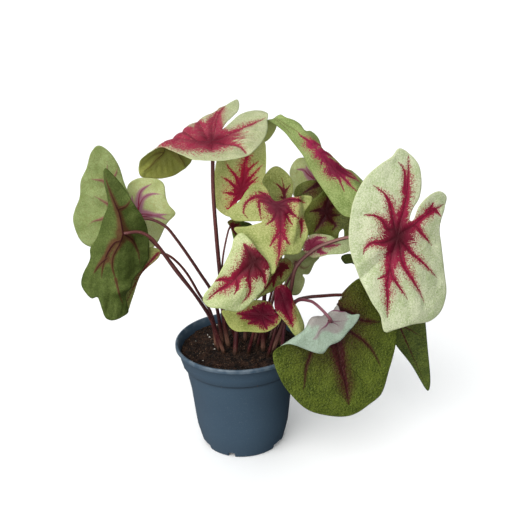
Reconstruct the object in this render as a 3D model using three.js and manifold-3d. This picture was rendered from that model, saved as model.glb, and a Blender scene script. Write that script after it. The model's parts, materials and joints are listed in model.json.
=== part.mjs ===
// A potted caladium: twenty-two heart-shaped leaves on slender stalks, growing from one tuber in
// a tapered nursery pot. Millimetres, +Z up. The origin is the centre of the pot's base, on the
// ground, and +X points to the side on which the largest leaf hangs.

import * as THREE from 'three';
import { mergeVertices } from 'three/addons/utils/BufferGeometryUtils.js';
import Module from 'manifold-3d';

const wasm = await Module();
wasm.setup();

// Driving dimensions.
const POT_HEIGHT = 103;
const RIM_RADIUS = 60;
const LIP_HEIGHT = 4;
const COLLAR_BOTTOM = 83;
const FOOT_RADIUS = 38.8;
const WALL = 1.2;
const GUTTER_HEIGHT = 5;
const NOTCH_HEIGHT = 4.4;
const POT_SIDES = 36;
const SOIL_LEVEL = 95;
const TUBER_TOP = 82;
const CLEARANCE = 0.3;
const BLADE_THICKNESS = 1;
const BLADE_FACET = 11;
const STALK_SIDES = 6;
const STALK_STEP = 12;
const STALK_NECK = 5;
const STALK_FOOT = 6;
const SOCKET_DEPTH = 3;
const SOCKET_GAP = 1.5 * CLEARANCE;

const object = new THREE.Group();

// Colours of the real materials.
const potPlastic = { color: '#46596b', roughness: 0.45, metalness: 0 };
const peat = { color: '#2b1d17', roughness: 0.95, metalness: 0 };
const cork = { color: '#5a4232', roughness: 0.9, metalness: 0 };
const stalkSkin = { color: '#5b2f33', roughness: 0.5, metalness: 0 };
const paleLeaf = { color: '#b5c88a', roughness: 0.6, metalness: 0 };

function add(name, geometry, look) {
  const mesh = new THREE.Mesh(geometry, new THREE.MeshStandardMaterial(look));
  mesh.name = name;
  object.add(mesh);
}

// Closed geometry to solid and back, for the cuts.
function toSolid(geometry) {
  const bare = geometry.clone();
  bare.deleteAttribute('normal');
  bare.deleteAttribute('uv');
  const merged = mergeVertices(bare, 1e-3);
  const index = merged.index.array;
  const triVerts = [];
  for (let i = 0; i < index.length; i += 3) {
    const [a, b, c] = [index[i], index[i + 1], index[i + 2]];
    if (a !== b && b !== c && c !== a) triVerts.push(a, b, c);
  }
  const vertProperties = new Float32Array(merged.attributes.position.array);
  return new wasm.Manifold(
    new wasm.Mesh({ numProp: 3, vertProperties, triVerts: new Uint32Array(triVerts) }),
  );
}

function fromSolid(solid) {
  const mesh = solid.getMesh();
  const geometry = new THREE.BufferGeometry();
  geometry.setAttribute('position', new THREE.BufferAttribute(mesh.vertProperties, 3));
  geometry.setIndex(new THREE.BufferAttribute(mesh.triVerts, 1));
  geometry.computeVertexNormals();
  return geometry;
}

// Turned body: the profile runs [radius, height], its axis stood up along Z.
function turned(profile, sides) {
  const points = profile.map(([radius, height]) => new THREE.Vector2(radius, height));
  const geometry = new THREE.LatheGeometry(points, sides);
  geometry.rotateX(Math.PI / 2);
  return geometry;
}

// Pot: thin tapered wall, stepped out to a collar, with a flat lip. Its floor is a disc on the
// ground inside a raised gutter, and the foot ring around the gutter is notched for drainage.
const outerWall = [
  [FOOT_RADIUS, 0],
  [41.8, 11],
  [45, 31],
  [47.5, 57],
  [51.6, COLLAR_BOTTOM],
];
const collar = [
  [54.2, COLLAR_BOTTOM],
  [56.8, POT_HEIGHT - LIP_HEIGHT - 1],
];
const potProfile = [
  [0, 0],
  [27.5, 0],
  [30, GUTTER_HEIGHT],
  [38.9, GUTTER_HEIGHT],
  [FOOT_RADIUS - WALL, 0],
  ...outerWall,
  ...collar,
  [RIM_RADIUS, POT_HEIGHT - LIP_HEIGHT],
  [RIM_RADIUS, POT_HEIGHT],
  [RIM_RADIUS - 1.4, POT_HEIGHT],
  [RIM_RADIUS - 1.8, POT_HEIGHT - 2.6],
  [56.8 - WALL, POT_HEIGHT - LIP_HEIGHT - 1.5],
  [54.2 - WALL, COLLAR_BOTTOM + 1.2],
  [51.6 - WALL, COLLAR_BOTTOM - 0.8],
  [47.5 - WALL, 57],
  [45 - WALL, 31],
  [41.8 - WALL, 11],
  [39.8, GUTTER_HEIGHT + WALL],
  [29, GUTTER_HEIGHT + WALL],
  [26.5, WALL],
  [0, WALL],
];
let pot = toSolid(turned(potProfile, POT_SIDES));
// Drain notches in the foot ring, [bearing, width]: three narrow and three wide, alternating.
// Bearings run from the front toward +X.
const notches = [
  [-15, 6],
  [58, 16],
  [105, 6],
  [178, 16],
  [225, 6],
  [298, 16],
];
for (const [bearing, width] of notches) {
  const notch = new THREE.BoxGeometry(width, 7, 2 * NOTCH_HEIGHT);
  notch.translate(0, -39.5, 0);
  notch.rotateZ(THREE.MathUtils.degToRad(bearing));
  pot = pot.subtract(toSolid(notch));
}
add('pot', fromSolid(pot), potPlastic);

// A leaf's frame: x to the right of its midrib, y toward its tip, z out of its upper side.
function leafFrame(heading, pitch, roll) {
  const [h, p, r] = [heading, pitch, roll].map(THREE.MathUtils.degToRad);
  const along = new THREE.Vector3(Math.cos(p) * Math.cos(h), Math.cos(p) * Math.sin(h), Math.sin(p));
  const level = new THREE.Vector3(Math.sin(h), -Math.cos(h), 0);
  const up = new THREE.Vector3().crossVectors(level, along);
  const right = level.clone().multiplyScalar(Math.cos(r)).addScaledVector(up, -Math.sin(r));
  const normal = up.clone().multiplyScalar(Math.cos(r)).addScaledVector(level, Math.sin(r));
  return { along, right, normal };
}

// Rolls what lies past a straight line of the flat blade around a cylinder: up for a positive
// angle, down for a negative one. A bulge pushes the line outward at one place, and side keeps
// the bend to one side of a cut between two lobes.
function bendOver([x, y, z], { at, toward, angle, radius, bulge, side }) {
  const dir = THREE.MathUtils.degToRad(toward);
  const nx = Math.sin(dir);
  const ny = Math.cos(dir);
  const t = (x - at[0]) * ny - (y - at[1]) * nx;
  let s = (x - at[0]) * nx + (y - at[1]) * ny;
  if (bulge) s -= bulge.height * Math.exp(-(((t - bulge.along) / bulge.width) ** 2));
  if (s <= 0) return [x, y, z];
  let turn = THREE.MathUtils.degToRad(Math.abs(angle));
  if (side) {
    const off = (y - side.at[1]) * side.toward[0] - (x - side.at[0]) * side.toward[1];
    turn *= THREE.MathUtils.clamp((off + 1) / 3, 0, 1);
  }
  const sign = Math.sign(angle);
  const phi = Math.min(s / radius, turn);
  const rest = Math.max(s - radius * turn, 0);
  const reach = (radius - z * sign) * Math.sin(phi) + rest * Math.cos(phi);
  const rise = radius - (radius - z * sign) * Math.cos(phi) + rest * Math.sin(phi);
  return [x + (reach - s) * nx, y + (reach - s) * ny, rise * sign];
}

// Where the point [x, y, z] of the flat blade comes to lie, its middle plane at z = 0.
function onBlade(spec, frame, x, y, z = 0) {
  let point = [x, y, z];
  for (const bend of spec.bends ?? []) point = bendOver(point, bend);
  return new THREE.Vector3(...spec.hub)
    .addScaledVector(frame.right, point[0])
    .addScaledVector(frame.along, point[1])
    .addScaledVector(frame.normal, point[2]);
}

// Blade: a flat slab cut to the outline and divided into small facets, whose corners are then
// carried through the bends.
function bladeGeometry(spec, frame) {
  const corners = spec.outline.map(([x, y]) => new THREE.Vector3(x, y, 0));
  const edge = new THREE.CatmullRomCurve3(corners, true, 'centripetal');
  const margin = edge.getSpacedPoints(spec.marginPoints).slice(1);
  const flat = new wasm.CrossSection([margin.map(({ x, y }) => [x, y])]);
  const slab = flat.extrude(BLADE_THICKNESS).refineToLength(spec.facet ?? BLADE_FACET);
  const bent = slab.warp((corner) => {
    const place = onBlade(spec, frame, corner[0], corner[1], corner[2] - BLADE_THICKNESS / 2);
    corner.splice(0, 3, ...place.toArray());
  });
  return fromSolid(bent);
}

// Round stalk along a smooth path, its ends cut square.
function stalkGeometry(path, radius) {
  const section = new THREE.Shape();
  for (let i = 0; i < STALK_SIDES; i++) {
    const turn = (2 * Math.PI * i) / STALK_SIDES;
    const move = i === 0 ? 'moveTo' : 'lineTo';
    section[move](radius * Math.cos(turn), radius * Math.sin(turn));
  }
  const curve = new THREE.CatmullRomCurve3(path, false, 'centripetal');
  const steps = Math.max(4, Math.round(curve.getLength() / STALK_STEP));
  return new THREE.ExtrudeGeometry(section, { steps, extrudePath: curve, bevelEnabled: false });
}

// Sockets that the stalks leave in the soil and in the tuber.
const sockets = [];

function leaf(spec) {
  const frame = leafFrame(spec.heading, spec.pitch, spec.roll);
  add(`blade_${spec.name}`, bladeGeometry(spec, frame), paleLeaf);
  // The stalk meets the underside squarely at the joint, which is the hub unless it is given.
  const [jx, jy] = spec.joint ?? [0, 0];
  const joint = onBlade(spec, frame, jx, jy);
  const nearby = 0.01;
  const acrossX = onBlade(spec, frame, jx + nearby, jy).sub(joint);
  const acrossY = onBlade(spec, frame, jx, jy + nearby).sub(joint);
  const normal = acrossX.cross(acrossY).normalize();
  const seat = BLADE_THICKNESS / 2 + (spec.seat ?? CLEARANCE);
  const end = joint.clone().addScaledVector(normal, -seat);
  const neck = end.clone().addScaledVector(normal, -(spec.neck ?? STALK_NECK));
  const route = spec.stalk.map((point) => new THREE.Vector3(...point));
  const foot = route[0].clone().sub(route[1]).setLength(STALK_FOOT);
  const base = route[0].clone().add(foot).setZ(TUBER_TOP - SOCKET_DEPTH);
  const path = [base, ...route, neck, end];
  add(`stalk_${spec.name}`, stalkGeometry(path, spec.stalkRadius), stalkSkin);
  const deeper = base.clone().addScaledVector(foot.normalize(), SOCKET_GAP);
  sockets.push(stalkGeometry([deeper, ...route, neck, end], spec.stalkRadius + SOCKET_GAP));
}

// Largest leaf: hangs from a long arching stalk at the front right, both halves drooping a little.
leaf({
  name: 'right_front',
  hub: [136, -30, 210],
  heading: -113, pitch: -66, roll: -37,
  bends: [
    { at: [14, 0], toward: 90, angle: -14, radius: 60 },
    { at: [-14, 0], toward: -90, angle: -16, radius: 60 },
  ],
  outline: [[0, 80], [-9, 77], [-25, 71], [-45, 66], [-56, 56], [-59, 40], [-53, 21], [-46, 1],
    [-41, -15], [-44, -32], [-44, -42], [-35, -45], [-24, -39], [-16, -29], [-12, -16], [-9, -16],
    [-10, -24], [-15, -36], [-15, -50], [-9, -65], [9, -74], [15, -66], [26, -56], [36, -43],
    [42, -25], [43, -13], [42, 6], [38, 20], [27, 40], [15, 57], [6, 67]],
  marginPoints: 36,
  stalk: [[27, -12, 88], [41, -14, 128], [47, -15, 159], [50, -18, 177], [54, -17, 184],
    [69, -12, 195], [84, -9, 200], [97, -8, 203], [117, -12, 205]],
  stalkRadius: 2,
});

// Highest leaf: nearly level on the tallest stalk, its left tip rolled down and under.
leaf({
  name: 'top',
  hub: [-17, -10, 291],
  heading: 190, pitch: -4, roll: -10,
  bends: [
    { at: [19.5, 24], toward: 39, angle: -97, radius: 14 },
  ],
  outline: [[3, 73], [-3, 65], [-8, 58], [1, 43], [-10, 34], [-21, 27], [-33, 20], [-37, 11],
    [-42, -5], [-41, -19], [-31, -30], [-12, -41], [6, -48], [30, -53], [45, -56], [54, -50],
    [56, -42], [50, -32], [35, -22], [21, -12], [34, -17], [46, -24], [60, -32], [75, -36],
    [89, -36], [83, -29], [74, -18], [62, -7], [58, 8], [63, 24], [70, 41], [62, 50], [49, 60],
    [31, 68], [18, 71]],
  marginPoints: 44, facet: 6,
  stalk: [[-10, -1, 88], [-14, -3, 124], [-15, -4, 154], [-17, -6, 203], [-18, -8, 249]],
  stalkRadius: 2.1,
});

// Long leaf behind the top right: folded along its midrib, its tip curled back under.
leaf({
  name: 'upper_right',
  hub: [86, 15, 259],
  heading: 154, pitch: 35, roll: -47,
  bends: [
    { at: [0, 66], toward: 25, angle: -140, radius: 6 },
    { at: [-0.5, 0], toward: 97, angle: -50, radius: 8 },
  ],
  outline: [[0, 98], [-8, 94], [-9, 84], [-5, 74], [-3, 55], [-5, 44], [-9, 27], [-16, 10],
    [-22, -10], [-27, -30], [-26, -37], [-16, -46], [-4, -38], [6, -46], [18, -42], [21, -26],
    [21, -13], [13, -6], [14, 12], [10, 18], [23, 31], [22, 38], [12, 42], [15, 49], [8, 63],
    [10, 74], [8, 88]],
  marginPoints: 34, facet: 7,
  joint: [-4, 4],
  stalk: [[31, 14, 88], [47, 29, 138], [60, 33, 172], [76, 33, 201], [87, 32, 227]],
  stalkRadius: 1.9,
});

// Lowest leaf, right of the pot: its left basal lobe is folded forward over the blade.
leaf({
  name: 'lower_right_folded',
  hub: [81, -50, 142],
  heading: -52, pitch: -78, roll: 15,
  bends: [
    { at: [-2.7, -8.2], toward: 161, angle: 172, radius: 3.5,
      bulge: { height: 6, along: -21, width: 7 },
      side: { at: [-2, -12], toward: [-0.62, -0.78] } },
  ],
  outline: [[-11, 86], [-24, 82], [-37, 76], [-48, 56], [-54, 44], [-60, 27], [-62, 9], [-58, -9],
    [-45, -25], [-31, -32], [-10, -21], [-6, -15], [-2, -18], [-4, -21], [-6, -28], [-11, -34],
    [-5, -36], [9, -35], [31, -40], [39, -22], [47, 0], [58, 12], [55, 36], [47, 53], [35, 69],
    [17, 80], [0, 86]],
  marginPoints: 40, facet: 6,
  joint: [11.1, -16.5],
  stalk: [[37, -20, 88], [44, -21, 139], [52, -20, 149], [61, -35, 156], [66, -51, 160],
    [73, -60, 156]],
  stalkRadius: 1.6,
  seat: 0.6,
});

// Leaf low on the right, hanging nearly edge-on behind the folded one.
leaf({
  name: 'low_right',
  hub: [136, 2, 138],
  heading: -8, pitch: -66, roll: 86,
  bends: [
    { at: [0, 0], toward: 90, angle: -35, radius: 8 },
  ],
  outline: [[0, 102], [-4, 97], [-16, 59], [-26, 22], [-28, -4], [-22, -22], [-11, -18], [-8, -20],
    [-1, -40], [18, -52], [29, -50], [28, -43], [20, -42], [16, -37], [13, -18], [14, 3], [13, 26],
    [12, 47], [5, 70]],
  marginPoints: 34,
  joint: [-2.5, 1],
  stalk: [[37, 3, 88], [44, -5, 131], [52, -8, 144], [62, -8, 147], [74, -6, 147], [91, 0, 145],
    [108, 8, 140], [123, 12, 136]],
  stalkRadius: 1.8,
  seat: 0.6,
});

// Leaf in the middle of the crown, drooping on both sides of its midrib.
leaf({
  name: 'centre_drooping',
  hub: [36, -30, 240],
  heading: -110, pitch: -74, roll: -7,
  bends: [
    { at: [-6, 0], toward: -90, angle: -38, radius: 14 },
    { at: [12, 0], toward: 90, angle: -16, radius: 20 },
  ],
  outline: [[0, 57], [-7, 41], [-22, 38], [-26, 29], [-29, 23], [-25, 5], [-30, -9], [-11, -8],
    [3, -4], [12, -15], [20, -17], [28, -11], [34, -2], [45, 8], [40, 15], [26, 15], [12, 14],
    [25, 19], [38, 22], [23, 34], [14, 41], [6, 50]],
  marginPoints: 44,
  stalk: [[21, -10, 88], [24, -12, 157], [32, -20, 207]],
  stalkRadius: 2.1,
});

// Leaf in front of the crown, left of the middle, cupped downward.
leaf({
  name: 'centre_left',
  hub: [15, -46, 197],
  heading: -157, pitch: -33, roll: -65,
  bends: [
    { at: [8, 0], toward: 90, angle: -22, radius: 16 },
    { at: [-8, 0], toward: -90, angle: -20, radius: 14 },
  ],
  outline: [[-4, 52], [-12, 45], [-22, 38], [-26, 32], [-25, 13], [-24, 6], [-16, -5], [-8, -9],
    [6, -9], [16, -10], [26, -8], [26, -1], [21, 6], [16, 16], [8, 37], [6, 48], [3, 52]],
  marginPoints: 24,
  stalk: [[-5, -16, 88], [-1, -13, 130], [4, -17, 157], [10, -32, 184]],
  stalkRadius: 2.2,
});

// Upright leaf behind the crown, seen full face.
leaf({
  name: 'centre_back',
  hub: [5, 28, 236],
  heading: 39, pitch: 76, roll: 51,
  bends: [
    { at: [6, 0], toward: 90, angle: 18, radius: 30 },
    { at: [-8, 0], toward: -90, angle: 22, radius: 30 },
  ],
  outline: [[-3, 62], [-18, 46], [-26, 29], [-27, 11], [-25, -2], [-21, -17], [-7, -24], [-3, -16],
    [-2, -9], [3, -7], [8, -14], [14, -17], [20, -7], [19, 19], [16, 39], [13, 48]],
  marginPoints: 26,
  stalk: [[4, 9, 88], [7, 14, 146], [6, 24, 191]],
  stalkRadius: 1.9,
});

// Small leaf low over the soil, its tip bent down.
leaf({
  name: 'centre_low',
  hub: [21, -32, 142],
  heading: -169, pitch: -5, roll: -34,
  bends: [
    { at: [0, 16], toward: 0, angle: -25, radius: 16 },
  ],
  outline: [[15, 34], [7, 33], [-4, 30], [-10, 25], [-14, 14], [-17, -1], [-8, -15], [1, -12],
    [11, -10], [16, 7], [12, 12], [10, 21]],
  marginPoints: 20,
  stalk: [[6, -12, 88], [15, -23, 125]],
  stalkRadius: 1.7,
});

// Narrow young leaf over the right of the soil.
leaf({
  name: 'centre_small',
  hub: [40, -28, 154],
  heading: -43, pitch: -65, roll: 27,
  bends: [
    { at: [-3, 0], toward: -90, angle: -30, radius: 6 },
  ],
  outline: [[-1, 35], [-11, 30], [-12, 17], [-10, 5], [-10, -6], [-4, -13], [3, -13], [7, -5],
    [10, 5], [5, 20]],
  marginPoints: 20,
  stalk: [[24, -20, 88], [32, -24, 122]],
  stalkRadius: 1.6,
  seat: 0.6,
});

// Upper leaf on the left, standing on edge.
leaf({
  name: 'left_high',
  hub: [-103, 2, 228],
  heading: 153, pitch: 77, roll: 121,
  bends: [
    { at: [6, 0], toward: 90, angle: 20, radius: 30 },
    { at: [-6, 0], toward: -90, angle: 25, radius: 25 },
  ],
  outline: [[0, 59], [-7, 53], [-12, 40], [-13, 22], [-15, 2], [-11, -15], [-3, -23], [1, -13],
    [8, -11], [18, -22], [27, -27], [36, -25], [42, -18], [43, 0], [39, 8], [30, 19], [24, 33],
    [15, 43], [7, 55]],
  marginPoints: 26,
  stalk: [[-22, -1, 88], [-25, -4, 124], [-34, -8, 145], [-54, -13, 178], [-66, -15, 199],
    [-77, -18, 214], [-88, -16, 227]],
  stalkRadius: 1.6,
  neck: 6,
});

// Front leaf on the left: hangs on edge and folds back along both sides.
leaf({
  name: 'left_front',
  hub: [-91, -45, 226],
  heading: -154, pitch: -78, roll: 100,
  bends: [
    { at: [4, 0], toward: 90, angle: 42, radius: 10 },
    { at: [-6, 0], toward: -90, angle: 30, radius: 14 },
  ],
  outline: [[0, 78], [-5, 76], [-14, 59], [-19, 61], [-29, 52], [-29, 43], [-24, 27], [-25, 19],
    [-20, 8], [-16, -11], [-13, -22], [-18, -39], [-18, -50], [-5, -39], [3, -29], [9, -19],
    [22, -1], [28, 25], [25, 34], [16, 41], [9, 51], [12, 62], [16, 72], [9, 75]],
  marginPoints: 34, facet: 8,
  stalk: [[-13, -13, 88], [-24, -19, 131], [-33, -25, 153], [-51, -36, 189], [-62, -42, 210],
    [-68, -45, 220], [-77, -47, 226]],
  stalkRadius: 1.7,
});

// Level leaf on the left, turned over so that its lobes point away from the pot.
leaf({
  name: 'left_back',
  hub: [-88, 15, 219],
  heading: 9, pitch: 1, roll: -99,
  bends: [
    { at: [4, 0], toward: 90, angle: 20, radius: 20 },
    { at: [-4, 0], toward: -90, angle: 20, radius: 20 },
  ],
  outline: [[0, 34], [-8, 26], [-28, 15], [-34, 8], [-29, 0], [-14, -8], [-1, -6], [5, -8],
    [28, -6], [33, -1], [35, 8], [33, 20], [28, 26], [15, 27], [8, 29]],
  marginPoints: 24,
  stalk: [[-16, 4, 88], [-23, 5, 145], [-34, 5, 167], [-54, 4, 202], [-62, 4, 213], [-74, 6, 219]],
  stalkRadius: 1.7,
});

// Narrow leaf hanging on edge behind the front left one.
leaf({
  name: 'left_narrow',
  hub: [-82, -28, 185],
  heading: -153, pitch: -67, roll: -53,
  bends: [
    { at: [1, 0], toward: 90, angle: 40, radius: 6 },
  ],
  outline: [[0, 40], [-1, 25], [-2, 3], [-12, -17], [-11, -22], [-1, -21], [2, -2], [9, 23],
    [6, 34]],
  marginPoints: 20,
  joint: [-10.1, -19.3],
  stalk: [[-19, -8, 88], [-25, -10, 135], [-34, -13, 154], [-43, -18, 176], [-51, -23, 190],
    [-58, -27, 198]],
  stalkRadius: 1.4,
  neck: 3,
  seat: 0.5,
});

// Small leaf inside the crown, turned on its side.
leaf({
  name: 'inner_low',
  hub: [40, -15, 180],
  heading: -163, pitch: -49, roll: -95,
  bends: [
    { at: [2, 0], toward: 90, angle: -30, radius: 6 },
  ],
  outline: [[1, 38], [-2, 32], [-10, 16], [-10, -3], [-3, -8], [4, -7], [7, 0], [5, 16], [2, 25]],
  marginPoints: 20,
  stalk: [[14, -3, 88], [28, -6, 144]],
  stalkRadius: 1.4,
  seat: 0.8,
});

// Small round leaf rising behind the middle of the crown.
leaf({
  name: 'inner_round',
  hub: [41, -4, 239],
  heading: 124, pitch: 69, roll: -26,
  bends: [
    { at: [3, 0], toward: 90, angle: 20, radius: 10 },
    { at: [-3, 0], toward: -90, angle: 20, radius: 10 },
  ],
  outline: [[-4, 27], [-15, 17], [-13, 10], [-13, 1], [-2, -4], [7, -2], [11, 14], [2, 27]],
  marginPoints: 20,
  stalk: [[12, 6, 88], [27, 8, 158], [39, 4, 207]],
  stalkRadius: 1.4,
});

// Small leaf at the top right of the crown, leaning back.
leaf({
  name: 'back_high',
  hub: [72, 38, 243],
  heading: 159, pitch: 46, roll: 116,
  bends: [
    { at: [4, 0], toward: 90, angle: 25, radius: 12 },
  ],
  outline: [[0, 25], [-7, 20], [-11, 9], [-8, -3], [2, -9], [23, -3], [26, 2], [19, 11], [13, 21]],
  marginPoints: 20,
  stalk: [[18, 17, 88], [34, 27, 140], [45, 33, 197], [58, 35, 229]],
  stalkRadius: 1.6,
});

// Small dark leaf under the long one.
leaf({
  name: 'back_small',
  hub: [69, 23, 236],
  heading: -165, pitch: -11, roll: -63,
  bends: [
    { at: [0, 4], toward: 0, angle: -25, radius: 8 },
  ],
  outline: [[1, 17], [-10, 1], [-12, -8], [-8, -13], [5, -8], [10, -3], [10, 10], [7, 15]],
  marginPoints: 20,
  stalk: [[26, 12, 88], [42, 22, 142], [57, 27, 199]],
  stalkRadius: 1.3,
});

// Upright dark leaf behind the crown on the right.
leaf({
  name: 'back_dark',
  hub: [80, 15, 220],
  heading: 61, pitch: 73, roll: 44,
  bends: [
    { at: [8, 0], toward: 90, angle: 25, radius: 14 },
  ],
  outline: [[2, 25], [-10, 12], [-17, 7], [-22, -1], [-20, -15], [-14, -23], [-5, -21], [4, -21],
    [14, -24], [15, -17], [18, -14], [22, -32], [29, -30], [29, -13], [26, 6], [15, 19]],
  marginPoints: 26,
  stalk: [[30, 6, 88], [42, 15, 125], [50, 24, 148], [62, 26, 175], [71, 22, 198]],
  stalkRadius: 1.7,
});

// Narrow leaf lying level at the right of the crown.
leaf({
  name: 'mid_right',
  hub: [66, -1, 193],
  heading: -16, pitch: 4, roll: 58,
  bends: [
    { at: [0, 12], toward: 0, angle: -25, radius: 14 },
  ],
  outline: [[-4, 38], [-9, 30], [-7, 22], [-10, 16], [-10, -2], [2, -8], [10, 1], [7, 17], [5, 29],
    [1, 36]],
  marginPoints: 20,
  stalk: [[19, 1, 88], [39, 2, 145], [51, 3, 169]],
  stalkRadius: 1.3,
});

// Small leaf below it, hanging nearly upright.
leaf({
  name: 'mid_low',
  hub: [53, 18, 171],
  heading: -86, pitch: -78, roll: -171,
  bends: [
    { at: [4, 0], toward: 90, angle: 30, radius: 10 },
  ],
  outline: [[-4, 31], [-9, 26], [-11, 13], [-9, -9], [1, -11], [12, -10], [24, -3], [18, 3],
    [12, 12], [6, 12], [8, 17], [2, 30]],
  marginPoints: 20,
  stalk: [[25, 2, 88], [41, 5, 125], [48, 10, 149]],
  stalkRadius: 1.3,
});

// Slim young leaf behind the front stalks.
leaf({
  name: 'inner_slim',
  hub: [-3, -8, 216],
  heading: 15, pitch: -25, roll: 58,
  bends: [
    { at: [0, 5], toward: 0, angle: -20, radius: 10 },
  ],
  outline: [[-4, 27], [-9, 19], [-7, 7], [-6, -1], [-2, -5], [2, -1], [16, 8], [9, 18]],
  marginPoints: 20,
  stalk: [[-3, 5, 88], [-14, 1, 157], [-13, -3, 181], [-9, -6, 202]],
  stalkRadius: 1.1,
});

// Tubers: a flat clump of corms just under the surface, with a socket for every stalk. The hole
// that they leave in the soil is the same turned shape, grown by the clearance.
const TUBER_RADIUS = 36;
const TUBER_BASE = 58;
const TUBER_SIDES = 18;
function tuberShape(grow) {
  const profile = [
    [0, TUBER_BASE - grow],
    [0.6 * TUBER_RADIUS, TUBER_BASE + 2 - grow],
    [0.95 * TUBER_RADIUS + grow, TUBER_BASE + 10 - grow],
    [TUBER_RADIUS + grow, TUBER_BASE + 18],
    [0.85 * TUBER_RADIUS + grow, TUBER_TOP + grow],
    [0, TUBER_TOP + 1 + grow],
  ];
  return toSolid(turned(profile, TUBER_SIDES).translate(8, -2, 0));
}

// Soil: fills the pot to just under its lip, heaped a little at the middle.
const SOIL_INSET = WALL + 1.5 * CLEARANCE;
const soilProfile = [
  [0, WALL + CLEARANCE],
  [26.2, WALL + CLEARANCE],
  [28.6, GUTTER_HEIGHT + WALL + CLEARANCE],
  [39.2, GUTTER_HEIGHT + WALL + CLEARANCE],
  ...outerWall.slice(1, -1).map(([radius, height]) => [radius - SOIL_INSET, height]),
  [51.6 - SOIL_INSET, COLLAR_BOTTOM - 1],
  [53.8 - SOIL_INSET, COLLAR_BOTTOM + 1.2],
  [55.2 - SOIL_INSET, SOIL_LEVEL - 0.5],
  [40, SOIL_LEVEL],
  [0, SOIL_LEVEL + 1],
];
let soil = toSolid(turned(soilProfile, POT_SIDES)).subtract(tuberShape(SOCKET_GAP));
let tuber = tuberShape(0);
for (const socket of sockets) {
  const cutter = toSolid(socket);
  soil = soil.subtract(cutter);
  tuber = tuber.subtract(cutter);
}
add('soil', fromSolid(soil), peat);
add('tuber', fromSolid(tuber), cork);

export default object;
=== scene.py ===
# A potted caladium: heart-shaped leaves in cream green and crimson on slender maroon stalks, which
# rise from dark peat in a slate-blue nursery pot. Metres, +Z up, in the frame of the CAD model.
import json
import math
import bpy
import numpy as np
from mathutils import Matrix, Vector
from mathutils.geometry import delaunay_2d_cdt

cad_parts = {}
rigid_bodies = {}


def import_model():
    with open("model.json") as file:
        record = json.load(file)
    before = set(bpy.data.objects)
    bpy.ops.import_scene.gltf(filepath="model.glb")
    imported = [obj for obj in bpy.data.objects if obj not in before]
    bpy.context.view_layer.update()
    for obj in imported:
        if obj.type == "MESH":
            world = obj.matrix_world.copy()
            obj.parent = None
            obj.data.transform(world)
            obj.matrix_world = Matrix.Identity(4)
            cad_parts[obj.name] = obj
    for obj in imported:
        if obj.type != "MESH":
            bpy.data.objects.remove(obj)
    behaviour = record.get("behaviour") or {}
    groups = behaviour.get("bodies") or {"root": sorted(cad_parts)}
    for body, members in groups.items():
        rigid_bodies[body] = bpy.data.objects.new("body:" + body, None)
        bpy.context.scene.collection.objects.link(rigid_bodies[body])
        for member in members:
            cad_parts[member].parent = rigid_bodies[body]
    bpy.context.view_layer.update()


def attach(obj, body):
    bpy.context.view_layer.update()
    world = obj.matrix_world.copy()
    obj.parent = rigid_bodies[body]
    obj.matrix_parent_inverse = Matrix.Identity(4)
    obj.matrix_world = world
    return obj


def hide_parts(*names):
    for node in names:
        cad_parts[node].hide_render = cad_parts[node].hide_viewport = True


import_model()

scene = bpy.context.scene
bpy.ops.object.select_all(action="DESELECT")


# Camera: it stands in front of the plant, a little above the crown, looks down on it by the dip
# and leans by the tilt.
CAMERA_AT = (0.0220, -0.6223, 0.4236)
CAMERA_DIP = math.radians(21.47)
CAMERA_TILT = math.radians(-1.336)
CAMERA_LENS = 51.57
bpy.ops.object.camera_add(location=CAMERA_AT)
camera = bpy.context.object
aim = Matrix.Rotation(math.pi / 2 - CAMERA_DIP, 3, "X") @ Matrix.Rotation(CAMERA_TILT, 3, "Z")
camera.rotation_euler = aim.to_euler()
camera.data.sensor_width = 36
camera.data.sensor_fit = "HORIZONTAL"
camera.data.lens = CAMERA_LENS
scene.camera = camera


# Studio: a very soft sun high on the left in front, a faint one level from behind, a dim world that
# is darker below, and a white floor that throws little light back up.
SUNS = (("key_light", 3.0, (0.5, 0.85, -0.62)), ("back_light", 1.6, (0.1, -1, -0.1)))
SUN_SPREAD = math.radians(70)
BRIGHT_SIDE = (-0.5, -0.7, 0.5)
DIMMEST, BRIGHTEST = 0.03, 1.15
FLOOR_BOUNCE, FLOOR_SEEN = (0.16, 0.16, 0.16, 1), (0.93, 0.93, 0.93, 1)


def node(tree, kind, links=None, **settings):
    """A shader node with its settings, and its inputs set to values or linked to sockets."""
    made = tree.nodes.new(kind)
    for key, value in settings.items():
        setattr(made, key, value)
    for key, value in (links or {}).items():
        if isinstance(value, bpy.types.NodeSocket):
            tree.links.new(value, made.inputs[key])
        else:
            made.inputs[key].default_value = value
    return made


def tint(tree, share, first, second, kind="MIX"):
    """The second colour over the first, by share."""
    links = {0: share, 6: first, 7: second}
    return node(tree, "ShaderNodeMix", links, data_type="RGBA", blend_type=kind).outputs[2]


def material(name, colour, roughness, specular=0.5):
    """A new material, its node tree and its shader, whose plain values are set on its own sockets."""
    made = bpy.data.materials.new(name)
    made.use_nodes = True
    skin = made.node_tree.nodes["Principled BSDF"]
    skin.inputs["Base Color"].default_value = (*colour, 1)
    skin.inputs["Roughness"].default_value = roughness
    skin.inputs["Specular IOR Level"].default_value = specular
    return made, made.node_tree, skin


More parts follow.
